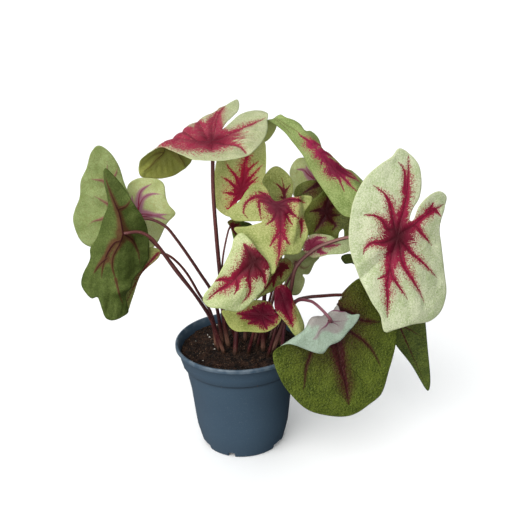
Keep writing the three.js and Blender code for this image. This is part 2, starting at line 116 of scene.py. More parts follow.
for name, energy, heading in SUNS:
    bpy.ops.object.light_add(type="SUN", location=-2 * Vector(heading))
    sun = bpy.context.object
    sun.name = name
    sun.data.energy = energy
    sun.data.angle = SUN_SPREAD
    sun.data.color = (1, 0.99, 0.965)
    sun.rotation_euler = Vector(heading).to_track_quat("-Z", "Y").to_euler()
    sun.visible_glossy = name == "key_light"
world = bpy.data.worlds.new("studio")
world.use_nodes = True
sky = world.node_tree
dim = sky.nodes["Background"]
dim.inputs["Color"].default_value = (0.95, 0.98, 1, 1)
way = node(sky, "ShaderNodeTexCoord").outputs["Generated"]
facing = node(sky, "ShaderNodeVectorMath", {0: way, 1: BRIGHT_SIDE}, operation="DOT_PRODUCT")
links = {"Value": facing.outputs["Value"], "From Min": -0.8, "To Min": DIMMEST, "To Max": BRIGHTEST}
sky.links.new(node(sky, "ShaderNodeMapRange", links).outputs[0], dim.inputs["Strength"])
bright = node(sky, "ShaderNodeBackground", {"Color": (1, 1, 1, 1)}).outputs[0]
by_camera = node(sky, "ShaderNodeLightPath").outputs["Is Camera Ray"]
choice = node(sky, "ShaderNodeMixShader", {0: by_camera, 1: dim.outputs[0], 2: bright}).outputs[0]
sky.links.new(choice, sky.nodes["World Output"].inputs["Surface"])
scene.world = world
scene.view_settings.view_transform = "Standard"

bpy.ops.mesh.primitive_plane_add(size=60, location=(0, 0, -0.0006))
floor = bpy.context.object
floor.name = "floor"
floor.visible_glossy = False
floor_paint, tree, skin = material("floor_paint", FLOOR_SEEN[:3], 0.7, 0.1)
by_camera = node(tree, "ShaderNodeLightPath").outputs["Is Camera Ray"]
tree.links.new(tint(tree, by_camera, FLOOR_BOUNCE, FLOOR_SEEN), skin.inputs["Base Color"])
floor.data.materials.append(floor_paint)


# Pot: one thin moulded shell of slate-blue plastic. It tapers down to a notched foot ring, steps
# out to a collar near the top and ends in a flat rounded lip. Sizes are in millimetres, here and
# below, but the heights that a material reads are in metres.
MM = 0.001
POT_PROFILE = [
    (0, 0), (27.2, 0), (29.8, 5), (38.9, 5), (37.8, 0), (38.8, 0), (39.6, 2), (41.8, 11), (43.7, 19),
    (45.0, 31), (46.0, 42), (47.5, 57), (49.6, 69), (51.5, 82.4), (52.2, 83), (53.9, 83), (54.3, 83.6),
    (56.0, 90), (56.9, 97.4), (57.6, 98.6), (59.4, 99), (60, 99.7), (60, 102), (59.3, 103),
    (58.2, 103), (57.4, 102.2), (55.9, 97.6), (54.8, 90), (53.0, 84.2), (50.4, 82), (48.4, 69),
    (46.3, 57), (44.8, 42), (43.8, 31), (42.5, 19), (40.6, 11), (39.6, 6.4), (29, 6.4), (26.6, 1.3),
    (0, 1.3),
]
POT_SIDES = 144
POT_NOTCHES = [(-15, 6), (58, 16), (105, 6), (178, 16), (225, 6), (298, 16)]
NOTCH_RADIUS, NOTCH_DEPTH, NOTCH_TOP = 39.5, 7, 4.4
SHARP_FROM = math.radians(32)
LIP_WORN = (0.0965, 0.1028)
# Heights of a band of painted shade on the wall just under the collar's ledge.
COLLAR_SHADE_RISES, COLLAR_SHADE_ENDS = (0.0785, 0.0822), (0.0836, 0.0830)


def turned(name, profile, sides):
    """A body of revolution: one point drawn along the profile, then spun about the upright axis."""
    bpy.ops.mesh.primitive_plane_add(size=MM)
    piece = bpy.context.object
    piece.name = name
    bpy.ops.object.mode_set(mode="EDIT")
    bpy.ops.mesh.merge(type="CENTER")
    place = Vector((0, 0, 0))
    for step, (radius, height) in enumerate(profile):
        move = Vector((radius, 0, height)) * MM - place
        place += move
        if step == 0:
            bpy.ops.transform.translate(value=move)
        else:
            bpy.ops.mesh.extrude_region_move(TRANSFORM_OT_translate={"value": move})
    bpy.ops.mesh.select_all(action="SELECT")
    bpy.ops.mesh.spin(steps=sides, angle=2 * math.pi, center=(0, 0, 0), axis=(0, 0, 1))
    bpy.ops.mesh.select_all(action="SELECT")
    bpy.ops.mesh.remove_doubles(threshold=1e-5)
    bpy.ops.mesh.normals_make_consistent(inside=False)
    bpy.ops.object.mode_set(mode="OBJECT")
    return piece


pot = turned("pot_shell", POT_PROFILE, POT_SIDES)
for bearing, width in POT_NOTCHES:
    turn = math.radians(bearing)
    bpy.ops.mesh.primitive_cube_add(
        size=1,
        location=(NOTCH_RADIUS * MM * math.sin(turn), -NOTCH_RADIUS * MM * math.cos(turn), 0),
        rotation=(0, 0, turn),
        scale=(width * MM, NOTCH_DEPTH * MM, 2 * NOTCH_TOP * MM),
    )
    cutter = bpy.context.object
    bpy.context.view_layer.objects.active = pot
    notch = pot.modifiers.new("notch", "BOOLEAN")
    notch.operation = "DIFFERENCE"
    notch.object = cutter
    bpy.ops.object.modifier_apply(modifier=notch.name)
    bpy.data.objects.remove(cutter)
bpy.ops.object.select_all(action="DESELECT")
pot.select_set(True)
bpy.context.view_layer.objects.active = pot
bpy.ops.object.shade_smooth_by_angle(angle=SHARP_FROM)


def sums(tree, operation, *values):
    """One step of arithmetic on values."""
    return node(tree, "ShaderNodeMath", dict(enumerate(values)), operation=operation).outputs[0]


def times(tree, first, second):
    """The first value times the second."""
    return sums(tree, "MULTIPLY", first, second)


def scaled(tree, value, factor, added):
    """The value times the factor, and then what is added."""
    return sums(tree, "MULTIPLY_ADD", value, factor, added)


def fade(tree, value, low, high):
    """0 at low, 1 at high, smooth between them."""
    links = {"Value": value, "From Min": low, "From Max": high}
    return node(tree, "ShaderNodeMapRange", links, interpolation_type="SMOOTHSTEP").outputs[0]


def grain(tree, vector, scale, detail=2.0, roughness=0.5):
    """Cloudy noise from 0 to 1; scale is how many clouds lie along one unit of the vector."""
    links = {"Vector": vector, "Scale": scale, "Detail": detail, "Roughness": roughness}
    return node(tree, "ShaderNodeTexNoise", links).outputs["Fac"]


def rgb(*parts):
    """A colour from its three parts on the usual 0 to 255 scale."""
    return (*((part / 255) ** 2.2 for part in parts), 1)


def relief(tree, height, distance, strength=1.0):
    """The shading of a skin that stands distance metres higher where height is 1 than where it is 0."""
    links = {"Height": height, "Distance": distance, "Strength": strength}
    return node(tree, "ShaderNodeBump", links).outputs["Normal"]


def finish_piece(piece, slot, *nodes):
    """Hangs a finished piece on the one body of the plant."""
    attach(piece, "root")
    if nodes:
        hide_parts(*nodes)


POT_BLUE, POT_CLOUD, POT_SPECK = rgb(49, 65, 80), rgb(57, 75, 90), rgb(72, 86, 97)
# The second colour on the next line is painted shade, for the band under the collar.
POT_SCUFF, POT_PAINTED_SHADE = rgb(92, 104, 114), rgb(22, 30, 38)
pot_plastic, tree, skin = material("pot_plastic", (0.075, 0.115, 0.155), 0.42, 0.3)
place = node(tree, "ShaderNodeTexCoord").outputs["Object"]
cloud = grain(tree, place, 26, 4)
fleck = grain(tree, place, 900, 3, 0.7)
height = node(tree, "ShaderNodeSeparateXYZ", {0: place}).outputs["Z"]
body = tint(tree, cloud, POT_BLUE, POT_CLOUD)
body = tint(tree, fade(tree, fleck, 0.55, 0.75), body, POT_SPECK)
rubbed = fade(tree, grain(tree, place, 140, 4), 0.35, 0.7)
scuff = times(tree, fade(tree, height, *LIP_WORN), rubbed)
body = tint(tree, scuff, body, POT_SCUFF)
# Painted shade: a dark band on the wall just under the collar's ledge, where the ledge's shadow falls.
corner = times(tree, fade(tree, height, *COLLAR_SHADE_RISES), fade(tree, height, *COLLAR_SHADE_ENDS))
body = tint(tree, times(tree, corner, 0.75), body, POT_PAINTED_SHADE)
tree.links.new(body, skin.inputs["Base Color"])
rough = scaled(tree, cloud, 0.22, 0.34)
tree.links.new(rough, skin.inputs["Roughness"])
tree.links.new(relief(tree, grain(tree, place, 1500, 2), 0.00006, 0.5), skin.inputs["Normal"])
pot.data.materials.clear()
pot.data.materials.append(pot_plastic)
finish_piece(pot, "pot", "pot")


# Soil: damp peat that fills the pot to just under its lip, turned as one plug whose top is lumpy.
# Crumbs, root fibres and a few white grains of perlite lie on it.
SOIL_WALL = [
    (0, 6.7), (28.8, 6.7), (39.3, 6.7), (40.2, 11), (43.3, 31), (45.8, 57), (49.8, 81), (52.4, 85.4),
    (54.2, 91), (55.0, 93.6), (54.6, 94.6),
]
SOIL_TOP = [(54 * (1 - i / 48), 95 + (i / 48) ** 2) for i in range(49)]
SOIL_EDGE = 54.6
SOIL_SIDES = 120
LUMPY_ABOVE = 94.5
LUMPS = ((0.009, 0.0032), (0.0022, 0.0022))
CRUMBS, FIBRES, PERLITE = 900, 700, 9
ANY_TURN = 6.3
ABOVE_ALL = 0.2

soil = turned("peat", SOIL_WALL + SOIL_TOP, SOIL_SIDES)
top = soil.vertex_groups.new(name="top")
top.add([v.index for v in soil.data.vertices if v.co.z > LUMPY_ABOVE * MM], 1, "REPLACE")
finer = soil.modifiers.new("finer", "SUBSURF")
finer.subdivision_type = "SIMPLE"
finer.levels = finer.render_levels = 1
bpy.ops.object.modifier_apply(modifier=finer.name)
for size, depth in LUMPS:
    lumps = bpy.data.textures.new("lumps", "CLOUDS")
    lumps.noise_scale = size
    heave = soil.modifiers.new("heave", "DISPLACE")
    heave.texture = lumps
    heave.direction = "Z"
    heave.strength = depth
    heave.vertex_group = "top"
    bpy.ops.object.modifier_apply(modifier=heave.name)
bpy.ops.object.shade_smooth()

PEAT_BLACK, PEAT_BROWN, PEAT_CHAFF = rgb(20, 13, 10), rgb(52, 35, 26), rgb(98, 72, 52)
peat, tree, skin = material("peat", (0.02, 0.012, 0.008), 0.92, 0.25)
place = node(tree, "ShaderNodeTexCoord").outputs["Object"]
clod = grain(tree, place, 160, 5, 0.7)
chaff = grain(tree, place, 900, 3, 0.6)
body = tint(tree, fade(tree, clod, 0.4, 0.65), PEAT_BLACK, PEAT_BROWN)
body = tint(tree, fade(tree, chaff, 0.58, 0.7), body, PEAT_CHAFF)
tree.links.new(body, skin.inputs["Base Color"])
tree.links.new(relief(tree, sums(tree, "ADD", clod, chaff), 0.0012, 0.9), skin.inputs["Normal"])
soil.data.materials.append(peat)
finish_piece(soil, "soil", "soil")


def strewn(name, template, count, seed, reach, spread):
    """Copies of one small piece lying on the soil within reach of its middle, all in one mesh. spread
    gives each its turn and size, and how high it lies. None goes past the soil's edge."""
    rng = np.random.default_rng(seed)
    shape = np.array([v.co for v in template.data.vertices])
    faces = [tuple(f.vertices) for f in template.data.polygons]
    points, polygons = [], []
    for _ in range(count):
        way, far = rng.uniform(0, 2 * math.pi), reach * math.sqrt(rng.uniform(0, 1))
        spot = Vector((far * math.cos(way), far * math.sin(way), ABOVE_ALL))
        ground = soil.ray_cast(spot, (0, 0, -1))[1]
        turn, lift = spread(rng)
        polygons += [tuple(i + len(points) for i in face) for face in faces]
        placed = [ground + lift + turn @ Vector(co) for co in shape]
        over = max(co.to_2d().length for co in placed) - SOIL_EDGE * MM
        inward = Vector((math.cos(way), math.sin(way), 0)) * max(over, 0)
        points += [tuple(co - inward) for co in placed]
    mesh = bpy.data.meshes.new(name)
    mesh.from_pydata(points, [], polygons)
    piece = bpy.data.objects.new(name, mesh)
    scene.collection.objects.link(piece)
    bpy.data.objects.remove(template)
    return piece


def crumb_pose(low, high):
    """Turned any way, each of its three sides of a length of its own between low and high."""
    def pose(rng):
        turn = Matrix.Rotation(rng.uniform(0, ANY_TURN), 3, Vector(rng.normal(size=3)))
        return turn @ Matrix.Diagonal(rng.uniform(low, high, 3) * MM), Vector((0, 0, low * 0.3 * MM))
    return pose


def fibre_pose(rng):
    """Nearly flat on the soil, heading anywhere."""
    turn = Matrix.Rotation(rng.uniform(0, ANY_TURN), 3, "Z") @ Matrix.Rotation(rng.normal(0, 0.25), 3, "X")
    length, width = rng.uniform(0.3, 1.3), rng.uniform(0.6, 1.6)
    return turn @ Matrix.Diagonal((length, length, width)), Vector((0, 0, rng.uniform(0, 0.7) * MM))


bpy.ops.mesh.primitive_ico_sphere_add(subdivisions=1, radius=1)
crumbs = strewn("peat_crumbs", bpy.context.object, CRUMBS, 3, 53.6 * MM, crumb_pose(0.45, 1.5))
crumbs.data.materials.append(peat)
finish_piece(crumbs, "soil")

bpy.ops.mesh.primitive_ico_sphere_add(subdivisions=2, radius=1)
perlite = strewn("perlite", bpy.context.object, PERLITE, 8, 52 * MM, crumb_pose(0.4, 0.95))
white, tree, skin = material("perlite_white", (0.6, 0.58, 0.53), 0.85)
place = node(tree, "ShaderNodeTexCoord").outputs["Object"]
pitted = grain(tree, place, 1800, 2)
tree.links.new(tint(tree, pitted, rgb(170, 164, 152), rgb(232, 230, 222)), skin.inputs["Base Color"])
tree.links.new(relief(tree, pitted, 0.0004), skin.inputs["Normal"])
perlite.data.materials.append(white)
finish_piece(perlite, "soil")

bpy.ops.mesh.primitive_circle_add(vertices=5, radius=0.2 * MM, rotation=(math.pi / 2, 0, 0))
bpy.ops.object.mode_set(mode="EDIT")
bpy.ops.mesh.select_all(action="SELECT")
bpy.ops.mesh.spin(steps=7, angle=0.8, center=(12 * MM, 0, 0), axis=(0, 0, 1))
bpy.ops.object.mode_set(mode="OBJECT")
fibres = strewn("root_fibres", bpy.context.object, FIBRES, 5, 52 * MM, fibre_pose)
straw, tree, skin = material("peat_fibre", (0.1, 0.06, 0.035), 0.85)
place = node(tree, "ShaderNodeTexCoord").outputs["Object"]
age = fade(tree, grain(tree, place, 90, 2), 0.38, 0.62)
tree.links.new(tint(tree, age, rgb(62, 44, 32), rgb(164, 134, 106)), skin.inputs["Base Color"])
fibres.data.materials.append(straw)
finish_piece(fibres, "soil")


# Tuber: a clump of corms that lies buried in the soil, with a rough skin of brown cork. Every stalk
# grows from it. It keeps its CAD solid.
cork, tree, skin = material("tuber_cork", (0.1, 0.055, 0.032), 0.9)
place = node(tree, "ShaderNodeTexCoord").outputs["Object"]
scales = grain(tree, place, 220, 4, 0.7)
tree.links.new(tint(tree, scales, rgb(58, 40, 28), rgb(120, 88, 62)), skin.inputs["Base Color"])
tree.links.new(relief(tree, scales, 0.001), skin.inputs["Normal"])
for slot in bpy.data.objects["tuber"].material_slots:
    slot.material = cork


# Leaves: each is a thin heart-shaped blade on a round fleshy stalk that meets its underside. A
# blade is drawn flat in millimetres, x to the right of its midrib and y toward its tip, then bent.
CURVE_STEPS = 24  # short steps between two drawn points of a curve
GRID_STEP, ROW_STEP = 1.25, 0.866  # between the mesh's points in a row, and its rows as a share of it
MARGIN_CLEAR = 0.6  # grid steps between the margin and the nearest inner point
LEAF_THICKNESS = 0.45
LEAF_GLOW = 0.12  # share of the light that goes through a blade
WAVES = ((34, 0.9), (17, 0.5), (8, 0.35))  # length and height of a blade's gentle waves
FAR_OFF = 99.0  # where no vein is near
RED_FROM = 0.5  # a vein of less weight is a plain groove without red
HUB_HAZE = 0.35  # reach of the haze about the hub, as a share of the longest vein
UV_SPAN = 100
STALK_STEP, STALK_SIDES = 4, 14
STALK_START = (0.31, 0.95, 0.05)  # any direction that no stalk takes at its foot
STALK_BURIED, STALK_ROOT = 79, 6  # height of a stalk's foot in the soil, and how far it goes on sideways
STALK_END, NECK_CLEAR = 0.4, 0.8  # a stalk's end under the middle of the blade, and what its neck adds
NUDGE = 0.01


def smooth_line(points, step, closed=False):
    """Even points along the smooth curve through the given ones."""
    p = np.array(points, float)
    ends = (p[-1:], p[:2]) if closed else (2 * p[:1] - p[1:2], 2 * p[-1:] - p[-2:-1])
    p = np.vstack([ends[0], p, ends[1]])
    fine = []
    for a, b, c, d in zip(p, p[1:], p[2:], p[3:]):
        steps = [max(np.linalg.norm(w - v), 1e-6) ** 0.5 for v, w in ((a, b), (b, c), (c, d))]
        knots = np.cumsum([0] + steps)
        t = np.linspace(knots[1], knots[2], CURVE_STEPS)[:, None]

        def between(v, w, low, high):
            return ((knots[high] - t) * v + (t - knots[low]) * w) / (knots[high] - knots[low])

        ab, bc, cd = between(a, b, 0, 1), between(b, c, 1, 2), between(c, d, 2, 3)
        fine.append(between(between(ab, bc, 0, 2), between(bc, cd, 1, 3), 1, 2)[:-1])
    fine.append(p[-2:-1])
    fine = np.vstack(fine)
    length = np.concatenate([[0], np.cumsum(np.linalg.norm(np.diff(fine, axis=0), axis=1))])
    marks = np.linspace(0, length[-1], max(3, round(length[-1] / step)) + 1)
    even = np.column_stack([np.interp(marks, length, axis) for axis in fine.T])
    return even[:-1] if closed else even


def nearest(points, line, closed=False):
    """Distance from each point to a line of short segments, how far along it, and on which side."""
    start, end = (line, np.roll(line, -1, 0)) if closed else (line[:-1], line[1:])
    run = end - start
    size = np.linalg.norm(run, axis=1)
    begun = np.concatenate([[0], np.cumsum(size)[:-1]])
    off = points[:, None] - start
    share = np.clip((off * run).sum(2) / size**2, 0, 1)
    gap = np.linalg.norm(off - share[..., None] * run, axis=2)
    best = gap.argmin(1)
    rows = np.arange(len(points))
    cross = run[best, 0] * off[rows, best, 1] - run[best, 1] * off[rows, best, 0]
    return gap[rows, best], begun[best] + share[rows, best] * size[best], np.where(cross < 0, -1, 1)


def inside(points, loop):
    """Whether each point lies inside a closed loop."""
    a, b = loop, np.roll(loop, -1, 0)
    x, y = points[:, :1], points[:, 1:]
    spans = (a[:, 1] > y) != (b[:, 1] > y)
    slope = (b[:, 0] - a[:, 0]) / np.where(a[:, 1] == b[:, 1], 1e-9, b[:, 1] - a[:, 1])
    return (spans & (x < a[:, 0] + (y - a[:, 1]) * slope)).sum(1) % 2 == 1


def roll_over(p, at, toward, angle, radius, bulge=None, side=None):
    """Rolls what lies past a straight line of the flat blade round a cylinder: up for a positive
    angle, down for a negative one. A bulge pushes the line out at one place, and side keeps the
    bend to one side of a cut between two lobes."""
    nx, ny = math.sin(math.radians(toward)), math.cos(math.radians(toward))
    dx, dy = p[:, 0] - at[0], p[:, 1] - at[1]
    s = dx * nx + dy * ny
    if bulge:
        height, along, width = bulge
        s = s - height * np.exp(-(((dx * ny - dy * nx) - along) / width) ** 2)
    turn = np.full(len(p), math.radians(abs(angle)))
    if side:
        past = (p[:, 1] - side[1]) * side[2] - (p[:, 0] - side[0]) * side[3]
        turn *= np.clip((past + 1) / 3, 0, 1)
    sign = math.copysign(1, angle)
    inner = radius - p[:, 2] * sign
    phi = np.clip(s / radius, 0, turn)
    rest = np.maximum(s - radius * turn, 0)
    reach = inner * np.sin(phi) + rest * np.cos(phi) - s
    rise = radius - inner * np.cos(phi) + rest * np.sin(phi)
    bent = np.column_stack([p[:, 0] + reach * nx, p[:, 1] + reach * ny, rise * sign])
    return np.where((s > 0)[:, None], bent, p)


def leaf_frame(heading, pitch, roll):
    """The blade's own axes in space: to the right, toward the tip, out of the upper side."""
    h, p, r = map(math.radians, (heading, pitch, roll))
    ahead = np.array([math.cos(p) * math.cos(h), math.cos(p) * math.sin(h), math.sin(p)])
    level = np.array([math.sin(h), -math.cos(h), 0])
    up = np.cross(level, ahead)
    right = level * math.cos(r) - up * math.sin(r)
    return np.array([right, ahead, up * math.cos(r) + level * math.sin(r)])


def vein_reach(start, tip, along, length):
    """Half the width of the red about a vein, broad at the hub and fine at its tip, and how far the
    mist of red goes beyond it."""
    left = 1 - along / length
    width = 0.6 * start * (np.exp(-along / 7) + left**1.4) + tip * 0.6 * left + 0.12
    return width, 0.3 + 2.2 * np.minimum(start * left, 3)


def blade_relief(flat, rim, veins, creases, ripple, seed):
    """Height of the flat blade's skin: sunk veins, quilting between them, a gentle wave, and where
    the blade is creased a ridge of the given height that slopes away on both sides."""
    rng = np.random.default_rng(seed)
    groove = np.zeros(len(flat))
    vein_gap = np.full(len(flat), FAR_OFF)
    for start, _, line in veins:
        gap, along, _ = nearest(flat, line)
        fresh = np.clip(1 - along / max(along.max(), 1), 0.25, 1)
        groove = np.minimum(groove, -(0.25 + 0.07 * start) * fresh * np.exp(-((gap / 1.5) ** 2)))
        vein_gap = np.minimum(vein_gap, gap)
    wave = np.zeros(len(flat))
    for size, amount in WAVES:
        for _ in range(5):
            way, phase = rng.uniform(0, 2 * math.pi, 2)
            ahead = flat[:, 0] * math.cos(way) + flat[:, 1] * math.sin(way)
            wave += amount / 3 * np.sin(2 * math.pi * ahead / size + phase)
    quilt = 0.8 * (1 - np.exp(-((vein_gap / 4) ** 2)))
    far = np.hypot(*flat.T)
    swell = (quilt - 0.5 + 0.4 * wave) * ripple * np.clip(far / 12, 0, 1) * np.clip(0.35 + rim / 9, 0, 1)
    for line, height, reach in creases:
        gap = nearest(flat, smooth_line(line, 2))[0]
        swell += height * (np.sqrt(gap**2 + 1) - gap + np.maximum(reach - gap, 0)) / (reach + 1)
    return groove * np.clip(far / 5, 0, 1) + swell


def smooth_piece(name, mesh):
    """The mesh as a piece of its own, shaded smooth."""
    piece = bpy.data.objects.new(name, mesh)
    scene.collection.objects.link(piece)
    bpy.context.view_layer.objects.active = piece
    piece.select_set(True)
    bpy.ops.object.shade_smooth()
    return piece


def blade_piece(name, axes, hub, outline, bends, veins, creases, spread, ripple, seed):
    """The blade as a closed sheet: an even mesh of the flat outline, raised into its relief, bent,
    set in its place and given its thickness. Its points keep what the colours need."""
    loop = smooth_line(outline, GRID_STEP, closed=True)
    low, high = loop.min(0), loop.max(0)
    columns = np.arange(low[0], high[0], GRID_STEP)
    rows = np.arange(low[1], high[1], GRID_STEP * ROW_STEP)
    grid = np.array([(x + (GRID_STEP / 2) * (j % 2), y) for j, y in enumerate(rows) for x in columns])
    grid = grid[inside(grid, loop)]
    grid = grid[nearest(grid, loop, closed=True)[0] > MARGIN_CLEAR * GRID_STEP]
    flat = [Vector(co) for co in np.vstack([loop, grid])]
    edges = [(i, (i + 1) % len(loop)) for i in range(len(loop))]
    flat, _, faces, *_ = delaunay_2d_cdt(flat, edges, [], 1, 1e-5)
    flat = np.array(flat)
    rim = nearest(flat, loop, closed=True)[0]
    raised = np.column_stack([flat, blade_relief(flat, rim, veins, creases, ripple, seed)])
    for bend in bends:
        raised = roll_over(raised, **bend)
    mesh = bpy.data.meshes.new(name)
    mesh.from_pydata([tuple(co * MM) for co in hub + raised @ axes], [], faces)

    far = np.linalg.norm(flat, axis=1)
    longest = max(math.dist(line[0], line[-1]) for _, _, line in veins)
    flush = np.array([np.full(len(flat), FAR_OFF), far / (HUB_HAZE * longest)])
    for start, tip, line in veins:
        if start < RED_FROM:
            continue
        gap, along, _ = nearest(flat, line)
        width, reach = vein_reach(start * spread, tip, along, along.max())
        flush = np.minimum(flush, [gap / width, (gap - 0.7 * width) / reach])
    marks = np.column_stack([*flush, rim])
    mesh.attributes.new("flush", "FLOAT_VECTOR", "POINT").data.foreach_set("vector", marks.ravel())
    corners = np.array([corner.vertex_index for corner in mesh.loops])
    centres = flat[corners.reshape(-1, 3)].mean(1)
    gaps = np.array([nearest(centres, line)[0] for _, _, line in veins])
    owner = np.repeat(gaps.argmin(0), 3)
    marks = np.zeros((len(corners), 3))
    for i, (start, _, line) in enumerate(veins):
        mine = owner == i
        gap, along, hand = nearest(flat[corners[mine]], line)
        length = along.max() if mine.any() else 1
        hand = np.where(np.repeat(along.reshape(-1, 3).max(1) >= length - 0.01, 3), 1, hand)
        core = (0.22 + 0.05 * min(start, 5)) * (1 - 0.6 * along / max(length, 1))
        marks[mine] = np.column_stack([gap * hand, along, core])
    mesh.attributes.new("vein", "FLOAT_VECTOR", "CORNER").data.foreach_set("vector", marks.ravel())
    uv = flat[corners] / UV_SPAN + 0.5
    mesh.uv_layers.new(name="flat").data.foreach_set("uv", uv.ravel())

    piece = smooth_piece(name, mesh)
    thickness = piece.modifiers.new("thickness", "SOLIDIFY")
    thickness.thickness = LEAF_THICKNESS * MM
    thickness.offset = 0
    thickness.material_offset = 1
    return piece


def stalk_piece(name, route, radius):
    """The stalk as a round tube along its route, swollen a little at its foot and at the blade."""
    path = smooth_line(route, STALK_STEP)
    count = len(path)
    along = np.linalg.norm(np.diff(path, axis=0), axis=1).cumsum()
    along = np.concatenate([[0], along])
    length = along[-1]
    heading = np.gradient(path, axis=0)
    heading /= np.linalg.norm(heading, axis=1)[:, None]
    side = np.cross(heading[0], STALK_START)
    points, marks = [], []
    for spot, ahead, gone in zip(path, heading, along):
        side = side - (side @ ahead) * ahead
        side /= np.linalg.norm(side)
        other = np.cross(ahead, side)
        left = length - gone
        foot, head = 0.3 * math.exp(-gone / 16), 0.3 * math.exp(-left / 2.5)
        girth = radius * (1 - 0.25 * gone / length + foot + head)
        for k in range(STALK_SIDES):
            turn = 2 * math.pi * k / STALK_SIDES
            points.append((spot + girth * (side * math.cos(turn) + other * math.sin(turn))) * MM)
            marks.append((math.cos(turn), math.sin(turn), gone / length))
    faces = []
    for i in range(count - 1):
        for k in range(STALK_SIDES):
            a, b = i * STALK_SIDES + k, i * STALK_SIDES + (k + 1) % STALK_SIDES
            faces.append((a, b, b + STALK_SIDES, a + STALK_SIDES))
    faces.append(tuple(reversed(range(STALK_SIDES))))
    faces.append(tuple(range((count - 1) * STALK_SIDES, count * STALK_SIDES)))
    mesh = bpy.data.meshes.new(name)
    mesh.from_pydata([tuple(co) for co in points], [], faces)
    mesh.attributes.new("stem", "FLOAT_VECTOR", "POINT").data.foreach_set("vector", np.ravel(marks))
    return smooth_piece(name, mesh)


def node_group(name, inputs, outputs):
    """An empty node group with named sockets; inputs give each its kind and starting value."""
    group = bpy.data.node_groups.new(name, "ShaderNodeTree")
    for label, value in inputs.items():
        kind = "NodeSocketFloat" if isinstance(value, (int, float)) else "NodeSocketColor"
        group.interface.new_socket(label, in_out="INPUT", socket_type=kind).default_value = value
    for label, kind in outputs.items():
        group.interface.new_socket(label, in_out="OUTPUT", socket_type=kind)
    return group, node(group, "NodeGroupInput").outputs, node(group, "NodeGroupOutput").inputs


def blade_fields(tree):
    """What both faces of a blade read: the vein's offset, length and half-width in mm, how far past
    the red as a share of its width and beyond it, the distance from the margin, and the flat place."""
    vein = node(tree, "ShaderNodeAttribute", attribute_name="vein").outputs["Vector"]
    offset, along, core = node(tree, "ShaderNodeSeparateXYZ", {0: vein}).outputs
    flush = node(tree, "ShaderNodeAttribute", attribute_name="flush").outputs["Vector"]
    share, beyond, rim = node(tree, "ShaderNodeSeparateXYZ", {0: flush}).outputs
    flat = node(tree, "ShaderNodeUVMap", uv_map="flat").outputs["UV"]
    return sums(tree, "ABSOLUTE", offset), along, core, share, beyond, rim, flat


def vectors(tree, operation, *values):
    """One step of arithmetic on vectors."""
    made = node(tree, "ShaderNodeVectorMath", dict(enumerate(values)), operation=operation)
    return made.outputs["Value" if operation == "DISTANCE" else "Vector"]


def wander(tree, flat):
    """The flat blade's coordinates, pushed about so that the net of veinlets is uneven."""
    push = node(tree, "ShaderNodeTexNoise", {"Vector": flat, "Scale": 14.0, "Detail": 2.0}).outputs["Color"]
    return vectors(tree, "MULTIPLY_ADD", push, (0.06, 0.06, 0.06), flat)


def cells(tree, vector, scale):
    """Distance from the net of lines between irregular cells."""
    links = {"Vector": vector, "Scale": scale, "Randomness": 1.0}
    return node(tree, "ShaderNodeTexVoronoi", links, feature="DISTANCE_TO_EDGE").outputs["Distance"]


# The upper face: a stippled ground, red feathering out from the veins, fine mist, a plain margin.
upper_face, given, result = node_group(
    "upper_face",
    {"Ground": (0.6, 0.68, 0.38, 1), "Mottle": (0.3, 0.42, 0.14, 1), "Margin": (0.5, 0.6, 0.3, 1),
     "Red": (0.3, 0.01, 0.03, 1), "Vein": (0.2, 0.005, 0.02, 1), "Fleck": 0.2, "Dapple": 0.8,
     "Mist": 0.9, "Haze": 0.12},
    {"Colour": "NodeSocketColor", "Relief": "NodeSocketFloat"},
)
tree = upper_face
away, along, core, share, beyond, rim, flat = blade_fields(tree)
uneven = wander(tree, flat)

# Streaks that leave the veins at a slant: hairs that fray the edge of the red, and dust beyond it.
slant = scaled(tree, away, -0.9, along)
drift = vectors(tree, "MULTIPLY", flat, (22, 22, 22))
lays = []
for across in (0.15, 0.45):
    lay = node(tree, "ShaderNodeCombineXYZ", {0: slant, 1: times(tree, away, across)}).outputs[0]
    lays.append(vectors(tree, "ADD", lay, drift))
hair = grain(tree, lays[0], 0.8, 3, 0.6)
dust = grain(tree, lays[1], 1.7, 2, 0.6)
dots = node(tree, "ShaderNodeTexVoronoi", {"Vector": flat, "Scale": 155.0}).outputs["Color"]
chance, other, _ = node(tree, "ShaderNodeSeparateXYZ", {0: dots}).outputs
from_hub = vectors(tree, "DISTANCE", flat, (0.5, 0.5, 0))
patch = grain(tree, flat, 7, 2)
stipple = grain(tree, flat, 72, 4, 0.85)

# Where the red lies: solid about the veins apart from pale flecks, and a mist of dots past its edge.
edge = sums(tree, "SUBTRACT", share, scaled(tree, hair, 2.4, -1.2))
pale = times(tree, fade(tree, other, 0.8, 1.0), fade(tree, from_hub, 0.04, 0.24))
pale = times(tree, pale, given["Fleck"])
kept = sums(tree, "SUBTRACT", 1, pale)
red = times(tree, fade(tree, edge, 1.15, 0.95), kept)
bar = sums(tree, "POWER", sums(tree, "MAXIMUM", scaled(tree, beyond, 0.85, 0.05), 0), 0.8)
bar = sums(tree, "ADD", bar, scaled(tree, dust, -0.9, 0.45))
mist = times(tree, fade(tree, sums(tree, "SUBTRACT", chance, bar), 0.0, 0.1), given["Mist"])

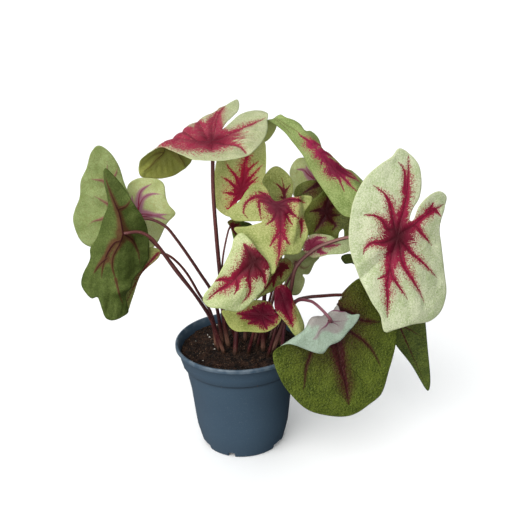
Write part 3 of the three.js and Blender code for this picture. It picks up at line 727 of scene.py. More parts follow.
# The ground, mottled and netted with veinlets, then its margin, the red and the vein's own line.
tone = scaled(tree, patch, 0.35, -0.175)
tone = sums(tree, "ADD", tone, scaled(tree, dust, 0.25, -0.125))
dapple = fade(tree, sums(tree, "ADD", stipple, tone), 0.44, 0.6)
web = times(tree, fade(tree, cells(tree, uneven, 36), 0.1, 0.0), 0.6)
dapple = times(tree, sums(tree, "MAXIMUM", dapple, web), given["Dapple"])
colour = tint(tree, dapple, given["Ground"], given["Mottle"])
colour = tint(tree, times(tree, fade(tree, rim, 2, 0.2), 0.6), colour, given["Margin"])
haze = times(tree, fade(tree, beyond, 2.0, 0.1), given["Haze"])
haze = times(tree, sums(tree, "MAXIMUM", mist, haze), kept)
colour = tint(tree, haze, colour, given["Red"])
depth = times(tree, fade(tree, share, 0.7, 0.1), 0.2)
depth = scaled(tree, fade(tree, from_hub, 0.26, 0.02), 0.8, depth)
colour = tint(tree, red, colour, tint(tree, depth, given["Red"], given["Vein"]))
line = fade(tree, sums(tree, "SUBTRACT", core, away), -0.18, 0.1)
colour = tint(tree, times(tree, line, 0.45), colour, given["Vein"])
tree.links.new(colour, result["Colour"])

# The skin is puffed up between the veinlets and sunk along the veins.
puff = fade(tree, cells(tree, uneven, 30), 0.0, 0.35)
rise = scaled(tree, stipple, 0.5, puff)
rise = sums(tree, "SUBTRACT", rise, times(tree, line, 1.5))
tree.links.new(rise, result["Relief"])

# The lower face: a duller bloomy ground, raised ribs, and the red showing faintly through.
lower_face, given, result = node_group(
    "lower_face",
    {"Ground": (0.3, 0.38, 0.2, 1), "Bloom": (0.4, 0.5, 0.3, 1), "Rib": (0.4, 0.2, 0.18, 1),
     "Show": (0.3, 0.05, 0.08, 1), "Through": 0.3},
    {"Colour": "NodeSocketColor", "Relief": "NodeSocketFloat"},
)
tree = lower_face
away, along, core, share, beyond, rim, flat = blade_fields(tree)
uneven = wander(tree, flat)
patch = grain(tree, flat, 8, 3)
fine = grain(tree, uneven, 105, 4, 0.75)
bloom = scaled(tree, patch, 0.5, times(tree, fine, 0.8))
colour = tint(tree, fade(tree, bloom, 0.45, 0.85), given["Ground"], given["Bloom"])
web = times(tree, fade(tree, cells(tree, uneven, 30), 0.12, 0.0), 0.3)
colour = tint(tree, web, colour, given["Rib"], "SOFT_LIGHT")
speck = scaled(tree, grain(tree, flat, 140, 3, 0.7), 3.2, -1.6)
speck = scaled(tree, speck, 0.25, beyond)
through = times(tree, fade(tree, speck, 0.5, 0.0), given["Through"])
colour = tint(tree, through, colour, given["Show"])
rib = fade(tree, sums(tree, "SUBTRACT", core, away), -0.35, 0.1)
rib = times(tree, rib, fade(tree, core, 0.13, 0.36))
colour = tint(tree, rib, colour, given["Rib"])
tree.links.new(colour, result["Colour"])
tree.links.new(scaled(tree, rib, 1.6, fine), result["Relief"])


def blade_paint(name, group, roughness, puff=0.25, **values):
    """A blade's material for one face: the marks of its group on a soft skin that lets some light
    through, quilted to the depth of puff in mm."""
    made, tree, skin = material(name, (0.5, 0.6, 0.3), roughness, 0.2)
    marks = node(tree, "ShaderNodeGroup", node_tree=group)
    for label, value in values.items():
        marks.inputs[label].default_value = rgb(*value) if isinstance(value, tuple) else value
    tree.links.new(marks.outputs["Colour"], skin.inputs["Base Color"])
    bump = relief(tree, marks.outputs["Relief"], puff * MM, 0.7)
    tree.links.new(bump, skin.inputs["Normal"])
    through = node(tree, "ShaderNodeBsdfTranslucent", {"Color": marks.outputs["Colour"]}).outputs[0]
    mixed = node(tree, "ShaderNodeMixShader", {0: LEAF_GLOW, 1: skin.outputs[0], 2: through}).outputs[0]
    tree.links.new(mixed, tree.nodes["Material Output"].inputs["Surface"])
    return made


# Each look is named for its upper face and gives the values of both faces, upper first.
GREEN_BACK = dict(Ground=(116, 128, 66), Bloom=(140, 150, 90), Rib=(130, 100, 70), Show=(120, 60, 54),
                  Through=0.5)
LOOKS = {
    "silver": (
        dict(Ground=(200, 204, 172), Mottle=(144, 162, 108), Margin=(190, 196, 154),
             Red=(136, 20, 56), Vein=(66, 3, 24), Fleck=0.25),
        dict(Ground=(120, 130, 76), Bloom=(150, 160, 106), Rib=(140, 110, 90),
             Show=(120, 60, 64), Through=0.5),
    ),
    "rose": (
        dict(Ground=(186, 188, 150), Mottle=(138, 152, 100), Margin=(172, 182, 134),
             Red=(148, 40, 66), Vein=(100, 14, 38), Fleck=0.6, Dapple=0.75),
        # Painted light: the lower face's ground is nearly as pale as the upper, standing in for the light
        # that reaches the rolled-under lobe.
        dict(Ground=(184, 188, 90), Bloom=(204, 208, 118), Rib=(96, 56, 34),
             Show=(120, 80, 44), Through=0.4),
    ),
    "cream": (
        dict(Ground=(200, 204, 156), Mottle=(142, 164, 96), Margin=(184, 198, 134),
             Red=(136, 18, 52), Vein=(66, 2, 20), Fleck=0.15),
        dict(Ground=(110, 120, 60), Bloom=(140, 146, 84), Rib=(110, 80, 60),
             Show=(120, 60, 54), Through=0.4),
    ),
    "lime": (
        dict(Ground=(174, 177, 114), Mottle=(120, 134, 64), Margin=(166, 174, 100),
             Red=(134, 14, 52), Vein=(84, 4, 34), Fleck=0.35),
        GREEN_BACK,
    ),
    # Painted light: a copy of lime painted lighter, to make up for the shadow of the top leaf on the leaf
    # that wears it.
    "bright": (
        dict(Ground=(218, 222, 146), Mottle=(164, 180, 92), Margin=(204, 212, 128),
             Red=(196, 34, 70), Vein=(140, 12, 50), Fleck=0.3),
        GREEN_BACK,
    ),
    "moss": (
        dict(Ground=(154, 158, 92), Mottle=(106, 116, 50), Margin=(150, 158, 84),
             Red=(126, 12, 50), Vein=(80, 4, 32), Fleck=0.0),
        GREEN_BACK,
    ),
    "sage": (
        dict(Ground=(148, 162, 100), Mottle=(98, 118, 54), Margin=(134, 150, 82),
             Red=(142, 30, 68), Vein=(100, 12, 44), Fleck=0.45),
        # Painted light: the lower face is painted pale, to make up for the shade on the curled tip that
        # shows it.
        dict(Ground=(190, 200, 120), Bloom=(212, 220, 150), Rib=(128, 84, 80),
             Show=(138, 76, 84), Through=0.2),
    ),
    "fresh": (
        dict(Ground=(172, 184, 124), Mottle=(124, 144, 78), Margin=(154, 168, 100),
             Red=(142, 30, 68), Vein=(100, 12, 44), Fleck=0.25),
        dict(Ground=(120, 136, 76), Bloom=(152, 166, 110), Rib=(134, 56, 70),
             Show=(140, 70, 84), Through=0.6, puff=1.1),
    ),
    "blush": (
        dict(Ground=(188, 192, 140), Mottle=(150, 162, 104), Margin=(170, 182, 112),
             Red=(138, 30, 60), Vein=(110, 16, 40), Fleck=0.5),
        dict(Ground=(174, 186, 118), Bloom=(204, 212, 156), Rib=(150, 44, 74),
             Show=(170, 104, 134), Through=0.9, puff=0.9),
    ),
    "deep": (
        dict(Ground=(96, 112, 50), Mottle=(60, 76, 28), Margin=(84, 100, 42),
             Red=(92, 20, 30), Vein=(66, 10, 20), Fleck=0.25, Dapple=0.9, Mist=0.8),
        dict(Ground=(66, 80, 30), Bloom=(100, 114, 58), Rib=(62, 20, 20),
             Show=(90, 34, 32), Through=0.7, puff=1.0),
    ),
    "forest": (
        dict(Ground=(97, 109, 40), Mottle=(38, 50, 8), Margin=(88, 100, 38),
             Red=(62, 22, 22), Vein=(42, 14, 16), Fleck=0.3, Dapple=0.85,
             Haze=0.6, puff=0.7),
        dict(Ground=(138, 156, 136), Bloom=(164, 182, 164), Rib=(112, 62, 84),
             Show=(140, 104, 118), Through=0.5),
    ),
    "dark": (
        dict(Ground=(92, 104, 44), Mottle=(48, 60, 24), Margin=(64, 80, 32),
             Red=(72, 20, 24), Vein=(48, 12, 18), Fleck=0.0, Dapple=1.0, Mist=0.2,
             puff=0.8),
        dict(Ground=(70, 86, 52), Bloom=(96, 112, 76), Rib=(84, 70, 54),
             Show=(80, 50, 46), Through=0.3),
    ),
    "olive": (
        dict(Ground=(150, 155, 90), Mottle=(102, 110, 52), Margin=(130, 136, 74),
             Red=(112, 26, 38), Vein=(80, 10, 24), Fleck=0.3, Dapple=0.9, Mist=0.7),
        dict(Ground=(136, 144, 92), Bloom=(164, 170, 120), Rib=(120, 90, 70),
             Show=(110, 60, 56), Through=0.4),
    ),
    "wine": (
        dict(Ground=(108, 114, 52), Mottle=(66, 70, 26), Margin=(100, 112, 52),
             Red=(80, 26, 32), Vein=(52, 10, 18), Fleck=0.4, Dapple=0.9, Mist=0.8,
             Haze=0.4),
        dict(Ground=(80, 90, 46), Bloom=(110, 120, 76), Rib=(90, 60, 50),
             Show=(80, 40, 42), Through=0.5),
    ),
    "mauve": (
        dict(Ground=(192, 202, 154), Mottle=(138, 154, 96), Margin=(172, 186, 124),
             Red=(166, 70, 98), Vein=(128, 36, 64), Fleck=0.5, Dapple=0.7, Mist=0.8),
        # Partly its own cream underside and partly painted light: the lower face is made paler to make up
        # for the shade the leaf lies in.
        dict(Ground=(228, 234, 190), Bloom=(244, 248, 212), Rib=(150, 60, 96),
             Show=(176, 96, 124), Through=0.6),
    ),
}
blade_paints = {
    look: (blade_paint(look + "_upper", upper_face, 0.5, **upper),
           blade_paint(look + "_lower", lower_face, 0.6, **lower))
    for look, (upper, lower) in LOOKS.items()
}

# The stalks: pale at the foot, partly their own tan and partly painted light against the shade under the
# crown, and stained by the soil there, darkest at mid height, and streaked.
STALK_COLOURS = {
    "maroon": (rgb(64, 28, 30), rgb(96, 50, 48)),
    "rosy": (rgb(92, 54, 52), rgb(140, 98, 92)),
    "mauve": (rgb(78, 36, 44), rgb(118, 68, 80)),
}
STALK_FOOT_TAN_AND_LIT, STALK_STREAK, STALK_FLECK = rgb(158, 122, 100), rgb(44, 18, 22), rgb(150, 108, 96)
STAIN, STAIN_ENDS = rgb(50, 35, 27), (0.106, 0.099)
stalk_paints = {}
for shade, (middle, upper) in STALK_COLOURS.items():
    stalk_paints[shade], tree, skin = material("stalk_" + shade, (0.1, 0.03, 0.035), 0.42, 0.35)
    stem = node(tree, "ShaderNodeAttribute", attribute_name="stem").outputs["Vector"]
    east, north, height = node(tree, "ShaderNodeSeparateXYZ", {0: stem}).outputs
    place = node(tree, "ShaderNodeTexCoord").outputs["Object"]
    stretched = {0: east, 1: north, 2: times(tree, height, 2.5)}
    streak = grain(tree, node(tree, "ShaderNodeCombineXYZ", stretched).outputs[0], 2.6, 3)
    fleck = grain(tree, place, 900, 2)
    level = node(tree, "ShaderNodeSeparateXYZ", {0: place}).outputs["Z"]
    level = scaled(tree, fleck, 0.006, level)
    colour = tint(tree, fade(tree, height, 0.02, 0.2), STALK_FOOT_TAN_AND_LIT, middle)
    colour = tint(tree, fade(tree, height, 0.4, 0.8), colour, upper)
    colour = tint(tree, fade(tree, streak, 0.46, 0.75), colour, STALK_STREAK)
    flecked = times(tree, fade(tree, fleck, 0.6, 0.72), 0.5)
    colour = tint(tree, flecked, colour, STALK_FLECK)
    colour = tint(tree, fade(tree, level, *STAIN_ENDS), colour, STAIN)
    tree.links.new(colour, skin.inputs["Base Color"])
    tree.links.new(relief(tree, streak, 0.0003, 0.5), skin.inputs["Normal"])


def leaf(name, hub, heading, pitch, roll, outline, veins, stalk, stalk_radius, look,
         spread=1, ripple=1, bends=(), creases=(), joint=(0, 0), neck=5, shade="maroon"):
    """One leaf of the plant, blade and stalk, each in the place of its CAD solid. hub, where the
    veins meet, and the stalk's route are in the plant's millimetres, and outline, bends, creases,
    veins and joint, where the stalk ends, in the flat blade's. A vein starts and ends with the given
    weights. spread widens the red about the veins, ripple scales the waves of the blade, and neck is
    the length over which the stalk turns into the blade."""
    axes = leaf_frame(heading, pitch, roll)
    hub = np.array(hub, float)
    lines = [(start, tip, smooth_line(line, 2)) for start, tip, line in veins]
    seed = len(bpy.data.objects)
    blade = blade_piece("leaf_" + name, axes, hub, outline, bends, lines, creases, spread, ripple, seed)
    for paint in blade_paints[look]:
        blade.data.materials.append(paint)
    finish_piece(blade, "leaf", "blade_" + name)

    x, y = joint
    spots = np.array([(x, y, 0), (x + NUDGE, y, 0), (x, y + NUDGE, 0)])
    for bend in bends:
        spots = roll_over(spots, **bend)
    spots = hub + spots @ axes
    normal = np.cross(spots[1] - spots[0], spots[2] - spots[0])
    normal /= np.linalg.norm(normal)
    route = np.array(stalk, float)
    foot = route[0] + STALK_ROOT * (route[0] - route[1]) / np.linalg.norm(route[0] - route[1])
    foot[2] = STALK_BURIED
    under = [spots[0] - normal * depth for depth in (neck + NECK_CLEAR, STALK_END)]
    route = np.vstack([foot, route, *under])
    stem = stalk_piece("stem_" + name, route, stalk_radius)
    stem.data.materials.append(stalk_paints[shade])
    finish_piece(stem, "stalk", "stalk_" + name)


# Largest leaf: hangs from a long arching stalk at the front right, both halves drooping a little.
leaf(
    "right_front",
    hub=(136, -30, 210),
    heading=-113, pitch=-66, roll=-37,
    bends=[
        dict(at=(14, 0), toward=90, angle=-14, radius=60),
        dict(at=(-14, 0), toward=-90, angle=-16, radius=60),
    ],
    outline=[(0, 80), (-9, 77), (-25, 71), (-45, 66), (-56, 56), (-59, 40), (-53, 21), (-46, 1),
        (-41, -15), (-44, -32), (-44, -42), (-35, -45), (-24, -39), (-16, -29), (-12, -16), (-9, -16),
        (-10, -24), (-15, -36), (-15, -50), (-9, -65), (9, -74), (15, -66), (26, -56), (36, -43),
        (42, -25), (43, -13), (42, 6), (38, 20), (27, 40), (15, 57), (6, 67)],
    creases=[
        ([(2, 14), (14, 24), (28, 40)], -3, 9),
    ],
    veins=[
        (7, 1, [(0, 0), (2, 21), (3, 41), (1, 53), (-1, 68)]),
        (5.5, 1, [(0, 0), (-1, -11), (-3, -28), (-3, -49), (0, -70)]),
        (1.5, 0.5, [(-2, -39), (2, -57), (9, -63)]),
        (4, 1, [(0, 0), (4, -10), (11, -27), (18, -35), (28, -40)]),
        (2.5, 0.7, [(5, -6), (8, -5), (15, -12), (23, -15), (33, -14)]),
        (4, 1, [(0, 0), (11, 6), (22, 8), (27, 13), (28, 19)]),
        (5, 1.2, [(0, 0), (-4, -5), (-13, -12), (-23, -22), (-33, -29), (-43, -35)]),
        (1.5, 0.5, [(-26, -25), (-27, -27), (-31, -35)]),
        (1.5, 0.5, [(-29, -27), (-34, -28), (-41, -24)]),
        (2.5, 0.7, [(-9, -8), (-15, -12), (-22, -7), (-36, 2)]),
        (2.5, 0.6, [(0, 0), (-6, 4), (-15, 11), (-26, 17), (-47, 29)]),
        (3, 0.7, [(-2, 3), (-4, 8), (-8, 20), (-17, 31), (-28, 42), (-36, 52)]),
        (2, 0.5, [(3, 23), (0, 32), (-5, 38), (-18, 51)]),
        (2, 0.5, [(2, 25), (4, 32), (13, 37)]),
    ],
    stalk=[(27, -12, 88), (41, -14, 128), (47, -15, 159), (50, -18, 177), (54, -17, 184), (69, -12, 195),
        (84, -9, 200), (97, -8, 203), (117, -12, 205)],
    stalk_radius=2,
    look="silver", spread=1.7, shade="rosy",
)

# Highest leaf: nearly level on the tallest stalk, its far left side rolled down and under.
leaf(
    "top",
    hub=(-17, -10, 291),
    heading=190, pitch=-4, roll=-10,
    bends=[
        dict(at=(19.5, 24), toward=39, angle=-97, radius=14),
    ],
    outline=[(3, 73), (-3, 65), (-8, 58), (1, 43), (-10, 34), (-21, 27), (-33, 20), (-37, 11), (-42, -5),
        (-41, -19), (-31, -30), (-12, -41), (6, -48), (30, -53), (45, -56), (54, -50), (56, -42),
        (50, -32), (35, -22), (21, -12), (34, -17), (46, -24), (60, -32), (75, -36), (89, -36),
        (83, -29), (74, -18), (62, -7), (58, 8), (63, 24), (70, 41), (62, 50), (49, 60), (31, 68),
        (18, 71)],
    veins=[
        (6, 1.4, [(0, 0), (10, 16), (20, 32), (24, 46), (14, 60), (4, 70)]),
        (11, 3, [(0, 0), (12, -3), (34, -8), (61, -15), (79, -24)]),
        (6, 1.2, [(0, 0), (4, -7), (15, -22), (26, -37), (37, -53)]),
        (2.2, 0.6, [(0, 0), (-4, 0), (-22, 4)]),
        (2.6, 0.6, [(-3, -2), (-8, -10), (-18, -20), (-35, -23)]),
        (13, 7, [(6, 3), (30, 4), (60, 6)]),
        (12, 7, [(10, 12), (32, 20), (62, 30)]),
        (10, 6, [(20, 30), (38, 38), (62, 50)]),
        (1.2, 0.5, [(24, 46), (10, 52), (0, 60)]),
        (9, 6, [(12, -2), (40, -6), (70, -15)]),
    ],
    stalk=[(-10, -1, 88), (-14, -3, 124), (-15, -4, 154), (-17, -6, 203), (-18, -8, 249)],
    stalk_radius=2.1,
    look="rose", spread=1.5, ripple=1.8,
)

# Long leaf behind the top right: folded along its midrib, its tip curled back under.
leaf(
    "upper_right",
    hub=(86, 15, 259),
    heading=154, pitch=35, roll=-47,
    bends=[
        dict(at=(0, 66), toward=25, angle=-140, radius=6),
        dict(at=(-0.5, 0), toward=97, angle=-50, radius=8),
    ],
    outline=[(0, 98), (-8, 94), (-9, 84), (-5, 74), (-3, 55), (-5, 44), (-9, 27), (-16, 10), (-22, -10),
        (-27, -30), (-26, -37), (-16, -46), (-4, -38), (6, -46), (18, -42), (21, -26), (21, -13),
        (13, -6), (14, 12), (10, 18), (23, 31), (22, 38), (12, 42), (15, 49), (8, 63), (10, 74), (8, 88)],
    veins=[
        (4.5, 1, [(0, 0), (2, 3), (2, 9), (4, 16), (4, 22), (5, 30)]),
        (1.2, 0.5, [(0, 0), (-1, -4), (-10, -21)]),
        (2, 0.6, [(0, 0), (0, -10), (-2, -22), (-2, -30)]),
        (4, 0.9, [(3, -2), (5, -11), (12, -20), (15, -27)]),
        (4, 0.9, [(3, -2), (9, -9), (15, -16), (15, -24)]),
        (0.8, 0.4, [(4, 17), (-1, 12), (-7, 9)]),
        (0.8, 0.4, [(2, 9), (-3, 1), (-8, -7)]),
        (0.4, 0.5, [(0, 50), (1, 66), (2, 84)]),
        (0.8, 0.4, [(5, 30), (5, 35), (4, 40), (5, 46)]),
        (3.5, 0.8, [(4, 17), (9, 14), (13, 8)]),
        (3, 0.8, [(5, 28), (9, 26), (13, 21)]),
        (0.4, 0.4, [(5, 46), (3, 60), (2, 84)]),
    ],
    joint=(-4, 4),
    stalk=[(31, 14, 88), (47, 29, 138), (60, 33, 172), (76, 33, 201), (87, 32, 227)],
    stalk_radius=1.9,
    look="sage", spread=1.3,
)

# Lowest leaf, right of the pot: its left basal lobe is folded forward over the blade.
leaf(
    "lower_right_folded",
    hub=(81, -50, 142),
    heading=-52, pitch=-78, roll=15,
    bends=[
        dict(at=(-2.7, -8.2), toward=161, angle=172, radius=3.5,
             bulge=(6, -21, 7), side=(-2, -12, -0.62, -0.78)),
    ],
    outline=[(-11, 86), (-24, 82), (-37, 76), (-48, 56), (-54, 44), (-60, 27), (-62, 9), (-58, -9),
        (-45, -25), (-31, -32), (-10, -21), (-6, -15), (-2, -18), (-4, -21), (-6, -28), (-11, -34),
        (-5, -36), (9, -35), (19, -35.5), (31, -40), (39, -22), (47, 0), (58, 12), (55, 36), (47, 53),
        (35, 69), (17, 80), (0, 86)],
    veins=[
        (12, 1.6, [(9, -12), (3, 0), (-1, 25), (-2, 42), (-4, 56), (-4, 77)]),
        (1.6, 0.6, [(14, -10), (22, 4), (24, 20), (30, 31), (34, 45), (36, 51)]),
        (1.6, 0.6, [(5, -6), (-6, 4), (-25, 22), (-33, 33), (-37, 42), (-40, 51)]),
        (4, 0.8, [(3, -10), (-16, -4), (-26, 4), (-35, 8), (-45, 11)]),
        (4, 0.8, [(2, -12), (-4, -21), (-11, -25), (-17, -31), (-21, -37)]),
        (3, 0.6, [(11, -16), (9, -21), (8, -29)]),
        (3, 0.6, [(11, -16), (26, -25), (33, -13)]),
        (2, 0.5, [(11, -16), (3, -25), (-3, -29)]),
        (0.45, 0.35, [(-2, 34), (9, 37), (17, 43), (22, 51)]),
        (0.45, 0.35, [(-2, 38), (-12, 46), (-20, 58), (-25, 67)]),
    ],
    joint=(11.1, -16.5),
    stalk=[(37, -20, 88), (44, -21, 139), (52, -20, 149), (61, -35, 156), (66, -51, 160), (73, -60, 156)],
    stalk_radius=1.6,
    look="forest", spread=1.5, ripple=0.35, shade="mauve",
)

# Leaf low on the right, hanging nearly edge-on behind the folded one.
leaf(
    "low_right",
    hub=(136, 2, 138),
    heading=-8, pitch=-66, roll=86,
    bends=[
        dict(at=(0, 0), toward=90, angle=-35, radius=8),
    ],
    outline=[(0, 102), (-4, 97), (-16, 59), (-26, 22), (-28, -4), (-22, -22), (-11, -18), (-8, -20),
        (-1, -40), (18, -52), (29, -50), (28, -43), (20, -42), (16, -37), (13, -18), (14, 3), (13, 26),
        (12, 47), (5, 70)],
    veins=[
        (0.9, 0.8, [(0, 0), (0, 30), (0, 60), (0, 92)]),
        (0.6, 0.5, [(0, 6), (-12, 16), (-22, 24)]),
        (0.6, 0.5, [(0, 26), (-9, 38), (-17, 50)]),
        (0.6, 0.5, [(0, 8), (7, 18), (11, 28)]),
        (0.6, 0.6, [(0, 0), (8, -22), (20, -44)]),
        (0.6, 0.6, [(0, 0), (-10, -8), (-20, -12)]),
    ],
    joint=(-2.5, 1),
    stalk=[(37, 3, 88), (44, -5, 131), (52, -8, 144), (62, -8, 147), (74, -6, 147), (91, 0, 145),
        (108, 8, 140), (123, 12, 136)],
    stalk_radius=1.8,
    look="dark", ripple=0.6,
)

# Leaf in the middle of the crown, drooping on both sides of its midrib.
leaf(
    "centre_drooping",
    hub=(36, -30, 240),
    heading=-110, pitch=-74, roll=-7,
    bends=[
        dict(at=(-6, 0), toward=-90, angle=-38, radius=14),
        dict(at=(12, 0), toward=90, angle=-16, radius=20),
    ],
    outline=[(0, 57), (-7, 41), (-22, 38), (-26, 29), (-29, 23), (-25, 5), (-30, -9), (-11, -8), (3, -4),
        (12, -15), (20, -17), (28, -11), (34, -2), (45, 8), (40, 15), (26, 15), (12, 14), (25, 19),
        (38, 22), (23, 34), (14, 41), (6, 50)],
    creases=[
        ([(-15, -14), (-17, 0), (-16, 16), (-10, 34)], 3, 5),
        ([(-23, -8), (-25, 8), (-24, 22)], -3, 4),
        ([(-9, 8), (-12, 22), (-10, 40)], -2.5, 4),
    ],
    veins=[
        (6, 1, [(0, 0), (-2, 4), (-4, 20), (-4, 34), (-4, 42), (-2, 52)]),
        (3, 0.7, [(0, 0), (2, 10), (9, 17)]),
        (5, 0.8, [(0, 0), (2, 0), (10, -7), (18, -11)]),
        (2, 0.6, [(9, -5), (20, -6), (29, 1), (30, 8), (25, 13)]),
        (2, 0.6, [(5, -1), (16, -3), (15, 5), (13, 13)]),
        (4, 0.7, [(0, 0), (-6, 0), (-12, 5), (-18, 9)]),
        (3, 0.6, [(1, 3), (-5, 4), (-9, 9), (-14, 15)]),
        (4, 0.8, [(0, 0), (-7, -5), (-16, -6), (-25, -4)]),
        (2, 0.6, [(-4, 21), (-9, 27), (-13, 32)]),
        (2, 0.6, [(-4, 21), (1, 28), (4, 34)]),
        (1.6, 0.5, [(-22, 12), (-24, 19), (-22, 25)]),
    ],
    stalk=[(21, -10, 88), (24, -12, 157), (32, -20, 207)],
    stalk_radius=2.1,
    look="lime", spread=1.25,
)

# Leaf in front of the crown, left of the middle, cupped downward.
leaf(
    "centre_left",
    hub=(15, -46, 197),
    heading=-157, pitch=-33, roll=-65,
    bends=[
        dict(at=(8, 0), toward=90, angle=-22, radius=16),
        dict(at=(-8, 0), toward=-90, angle=-20, radius=14),
    ],
    outline=[(-4, 52), (-12, 45), (-22, 38), (-26, 32), (-25, 13), (-24, 6), (-16, -5), (-8, -9),
        (6, -9), (16, -10), (26, -8), (26, -1), (21, 6), (16, 16), (8, 37), (6, 48), (3, 52)],
    veins=[
        (6, 1, [(0, 0), (0, 6), (0, 14), (-1, 27), (1, 38), (1, 50)]),
        (3, 0.7, [(0, 0), (-4, 7), (-10, 13), (-17, 17), (-20, 24), (-21, 30)]),
        (3, 0.7, [(0, 0), (-11, 0), (-20, 3), (-25, 7)]),
        (7, 1.2, [(0, 0), (6, -2), (12, -3), (17, -4)]),
        (4, 0.8, [(0, 0), (-1, -6), (-7, -8), (-13, -5)]),
        (2, 0.5, [(0, 19), (-7, 23), (-10, 29)]),
        (2, 0.5, [(0, 24), (6, 29), (9, 35)]),
    ],
    stalk=[(-5, -16, 88), (-1, -13, 130), (4, -17, 157), (10, -32, 184)],
    stalk_radius=2.2,
    look="cream", spread=1.5,
)

# Upright leaf behind the crown, seen full face. Its look is painted light: lighter than its own green, to
# make up for the top leaf's shadow.
leaf(
    "centre_back",
    hub=(5, 28, 236),
    heading=39, pitch=76, roll=51,
    bends=[
        dict(at=(6, 0), toward=90, angle=18, radius=30),
        dict(at=(-8, 0), toward=-90, angle=22, radius=30),
    ],
    outline=[(-3, 62), (-18, 46), (-26, 29), (-27, 11), (-25, -2), (-21, -17), (-7, -24), (-3, -16),
        (-2, -9), (3, -7), (8, -14), (14, -17), (20, -7), (19, 19), (16, 39), (13, 48)],
    veins=[
        (5, 1, [(0, 0), (0, 0), (0, 7), (0, 16), (-1, 25), (0, 32), (1, 55)]),
        (2, 0.6, [(-1, 3), (-7, 13), (-13, 18), (-19, 25)]),
        (2, 0.6, [(0, 0), (-7, 4), (-13, 8), (-21, 11)]),
        (2, 0.6, [(0, 0), (-4, -3), (-12, -3), (-18, -3)]),
        (2, 0.6, [(0, 9), (3, 20), (11, 30)]),
        (2, 0.6, [(0, 3), (8, 17), (15, 28)]),
        (3, 0.7, [(0, 0), (-2, -5), (-6, -11), (-9, -17), (-13, -15)]),
        (3, 0.7, [(0, 0), (5, -1), (11, 3)]),
        (2, 0.5, [(-1, 2), (6, 8), (13, 16)]),
    ],
    stalk=[(4, 9, 88), (7, 14, 146), (6, 24, 191)],
    stalk_radius=1.9,
    look="bright", spread=1.2,
)

# Small leaf low over the soil, its tip bent down.
leaf(
    "centre_low",
    hub=(21, -32, 142),
    heading=-169, pitch=-5, roll=-34,
    bends=[
        dict(at=(0, 16), toward=0, angle=-25, radius=16),
    ],
    outline=[(15, 34), (7, 33), (-4, 30), (-10, 25), (-14, 14), (-17, -1), (-8, -15), (1, -12),
        (11, -10), (16, 7), (12, 12), (10, 21)],
    veins=[
        (7, 1, [(0, 0), (2, 8), (4, 14), (7, 22)]),
        (4, 0.7, [(0, 0), (5, 3), (10, 6)]),
        (4, 0.7, [(0, 0), (6, -2), (11, -4)]),
        (5, 0.8, [(0, 0), (-1, -6), (-3, -12)]),
        (4, 0.7, [(0, 0), (-6, -5), (-10, -9)]),
        (4, 0.7, [(0, 0), (-8, 0), (-14, -1)]),
        (5, 0.8, [(0, 0), (-4, 6), (-6, 14)]),
        (5, 0.8, [(0, 0), (0, 11), (1, 20)]),
    ],
    stalk=[(6, -12, 88), (15, -23, 125)],
    stalk_radius=1.7,
    look="moss", spread=1.5,
)

# Narrow young leaf over the right of the soil.
leaf(
    "centre_small",
    hub=(40, -28, 154),
    heading=-43, pitch=-65, roll=27,
    bends=[
        dict(at=(-3, 0), toward=-90, angle=-30, radius=6),
    ],
    outline=[(-1, 35), (-11, 30), (-12, 17), (-10, 5), (-10, -6), (-4, -13), (3, -13), (7, -5), (10, 5),
        (5, 20)],
    veins=[
        (8, 2, [(0, 0), (0, 6), (0, 17), (0, 26)]),
        (6, 1.5, [(0, 0), (0, -6), (0, -10)]),
        (4, 1, [(0, 0), (6, -2), (8, 2)]),
        (3, 0.7, [(0, 0), (-6, 2), (-5, 7)]),
    ],
    stalk=[(24, -20, 88), (32, -24, 122)],
    stalk_radius=1.6,
    look="lime", spread=1.3,
)

# Upper leaf on the left, standing on edge.
leaf(
    "left_high",
    hub=(-103, 2, 228),
    heading=153, pitch=77, roll=121,
    bends=[
        dict(at=(6, 0), toward=90, angle=20, radius=30),
        dict(at=(-6, 0), toward=-90, angle=25, radius=25),
    ],
    outline=[(0, 59), (-7, 53), (-12, 40), (-13, 22), (-15, 2), (-11, -15), (-3, -23), (1, -13),
        (8, -11), (18, -22), (27, -27), (36, -25), (42, -18), (43, 0), (39, 8), (30, 19), (24, 33),
        (15, 43), (7, 55)],
    veins=[
        (4, 0.8, [(0, 0), (0, 11), (-1, 24), (-2, 37), (-4, 45)]),
        (3, 0.6, [(0, 0), (5, 8), (16, 19)]),
        (3, 0.6, [(0, 20), (3, 28), (15, 33)]),
        (3, 0.6, [(0, 0), (14, -3), (24, -4), (30, -7)]),
        (2, 0.5, [(-1, 27), (-7, 31), (-11, 37)]),
        (3, 0.6, [(0, 0), (9, -11), (16, -19)]),
    ],
    stalk=[(-22, -1, 88), (-25, -4, 124), (-34, -8, 145), (-54, -13, 178), (-66, -15, 199),
        (-77, -18, 214), (-88, -16, 227)],
    stalk_radius=1.6,
    neck=6,
    look="fresh", spread=0.8,
)

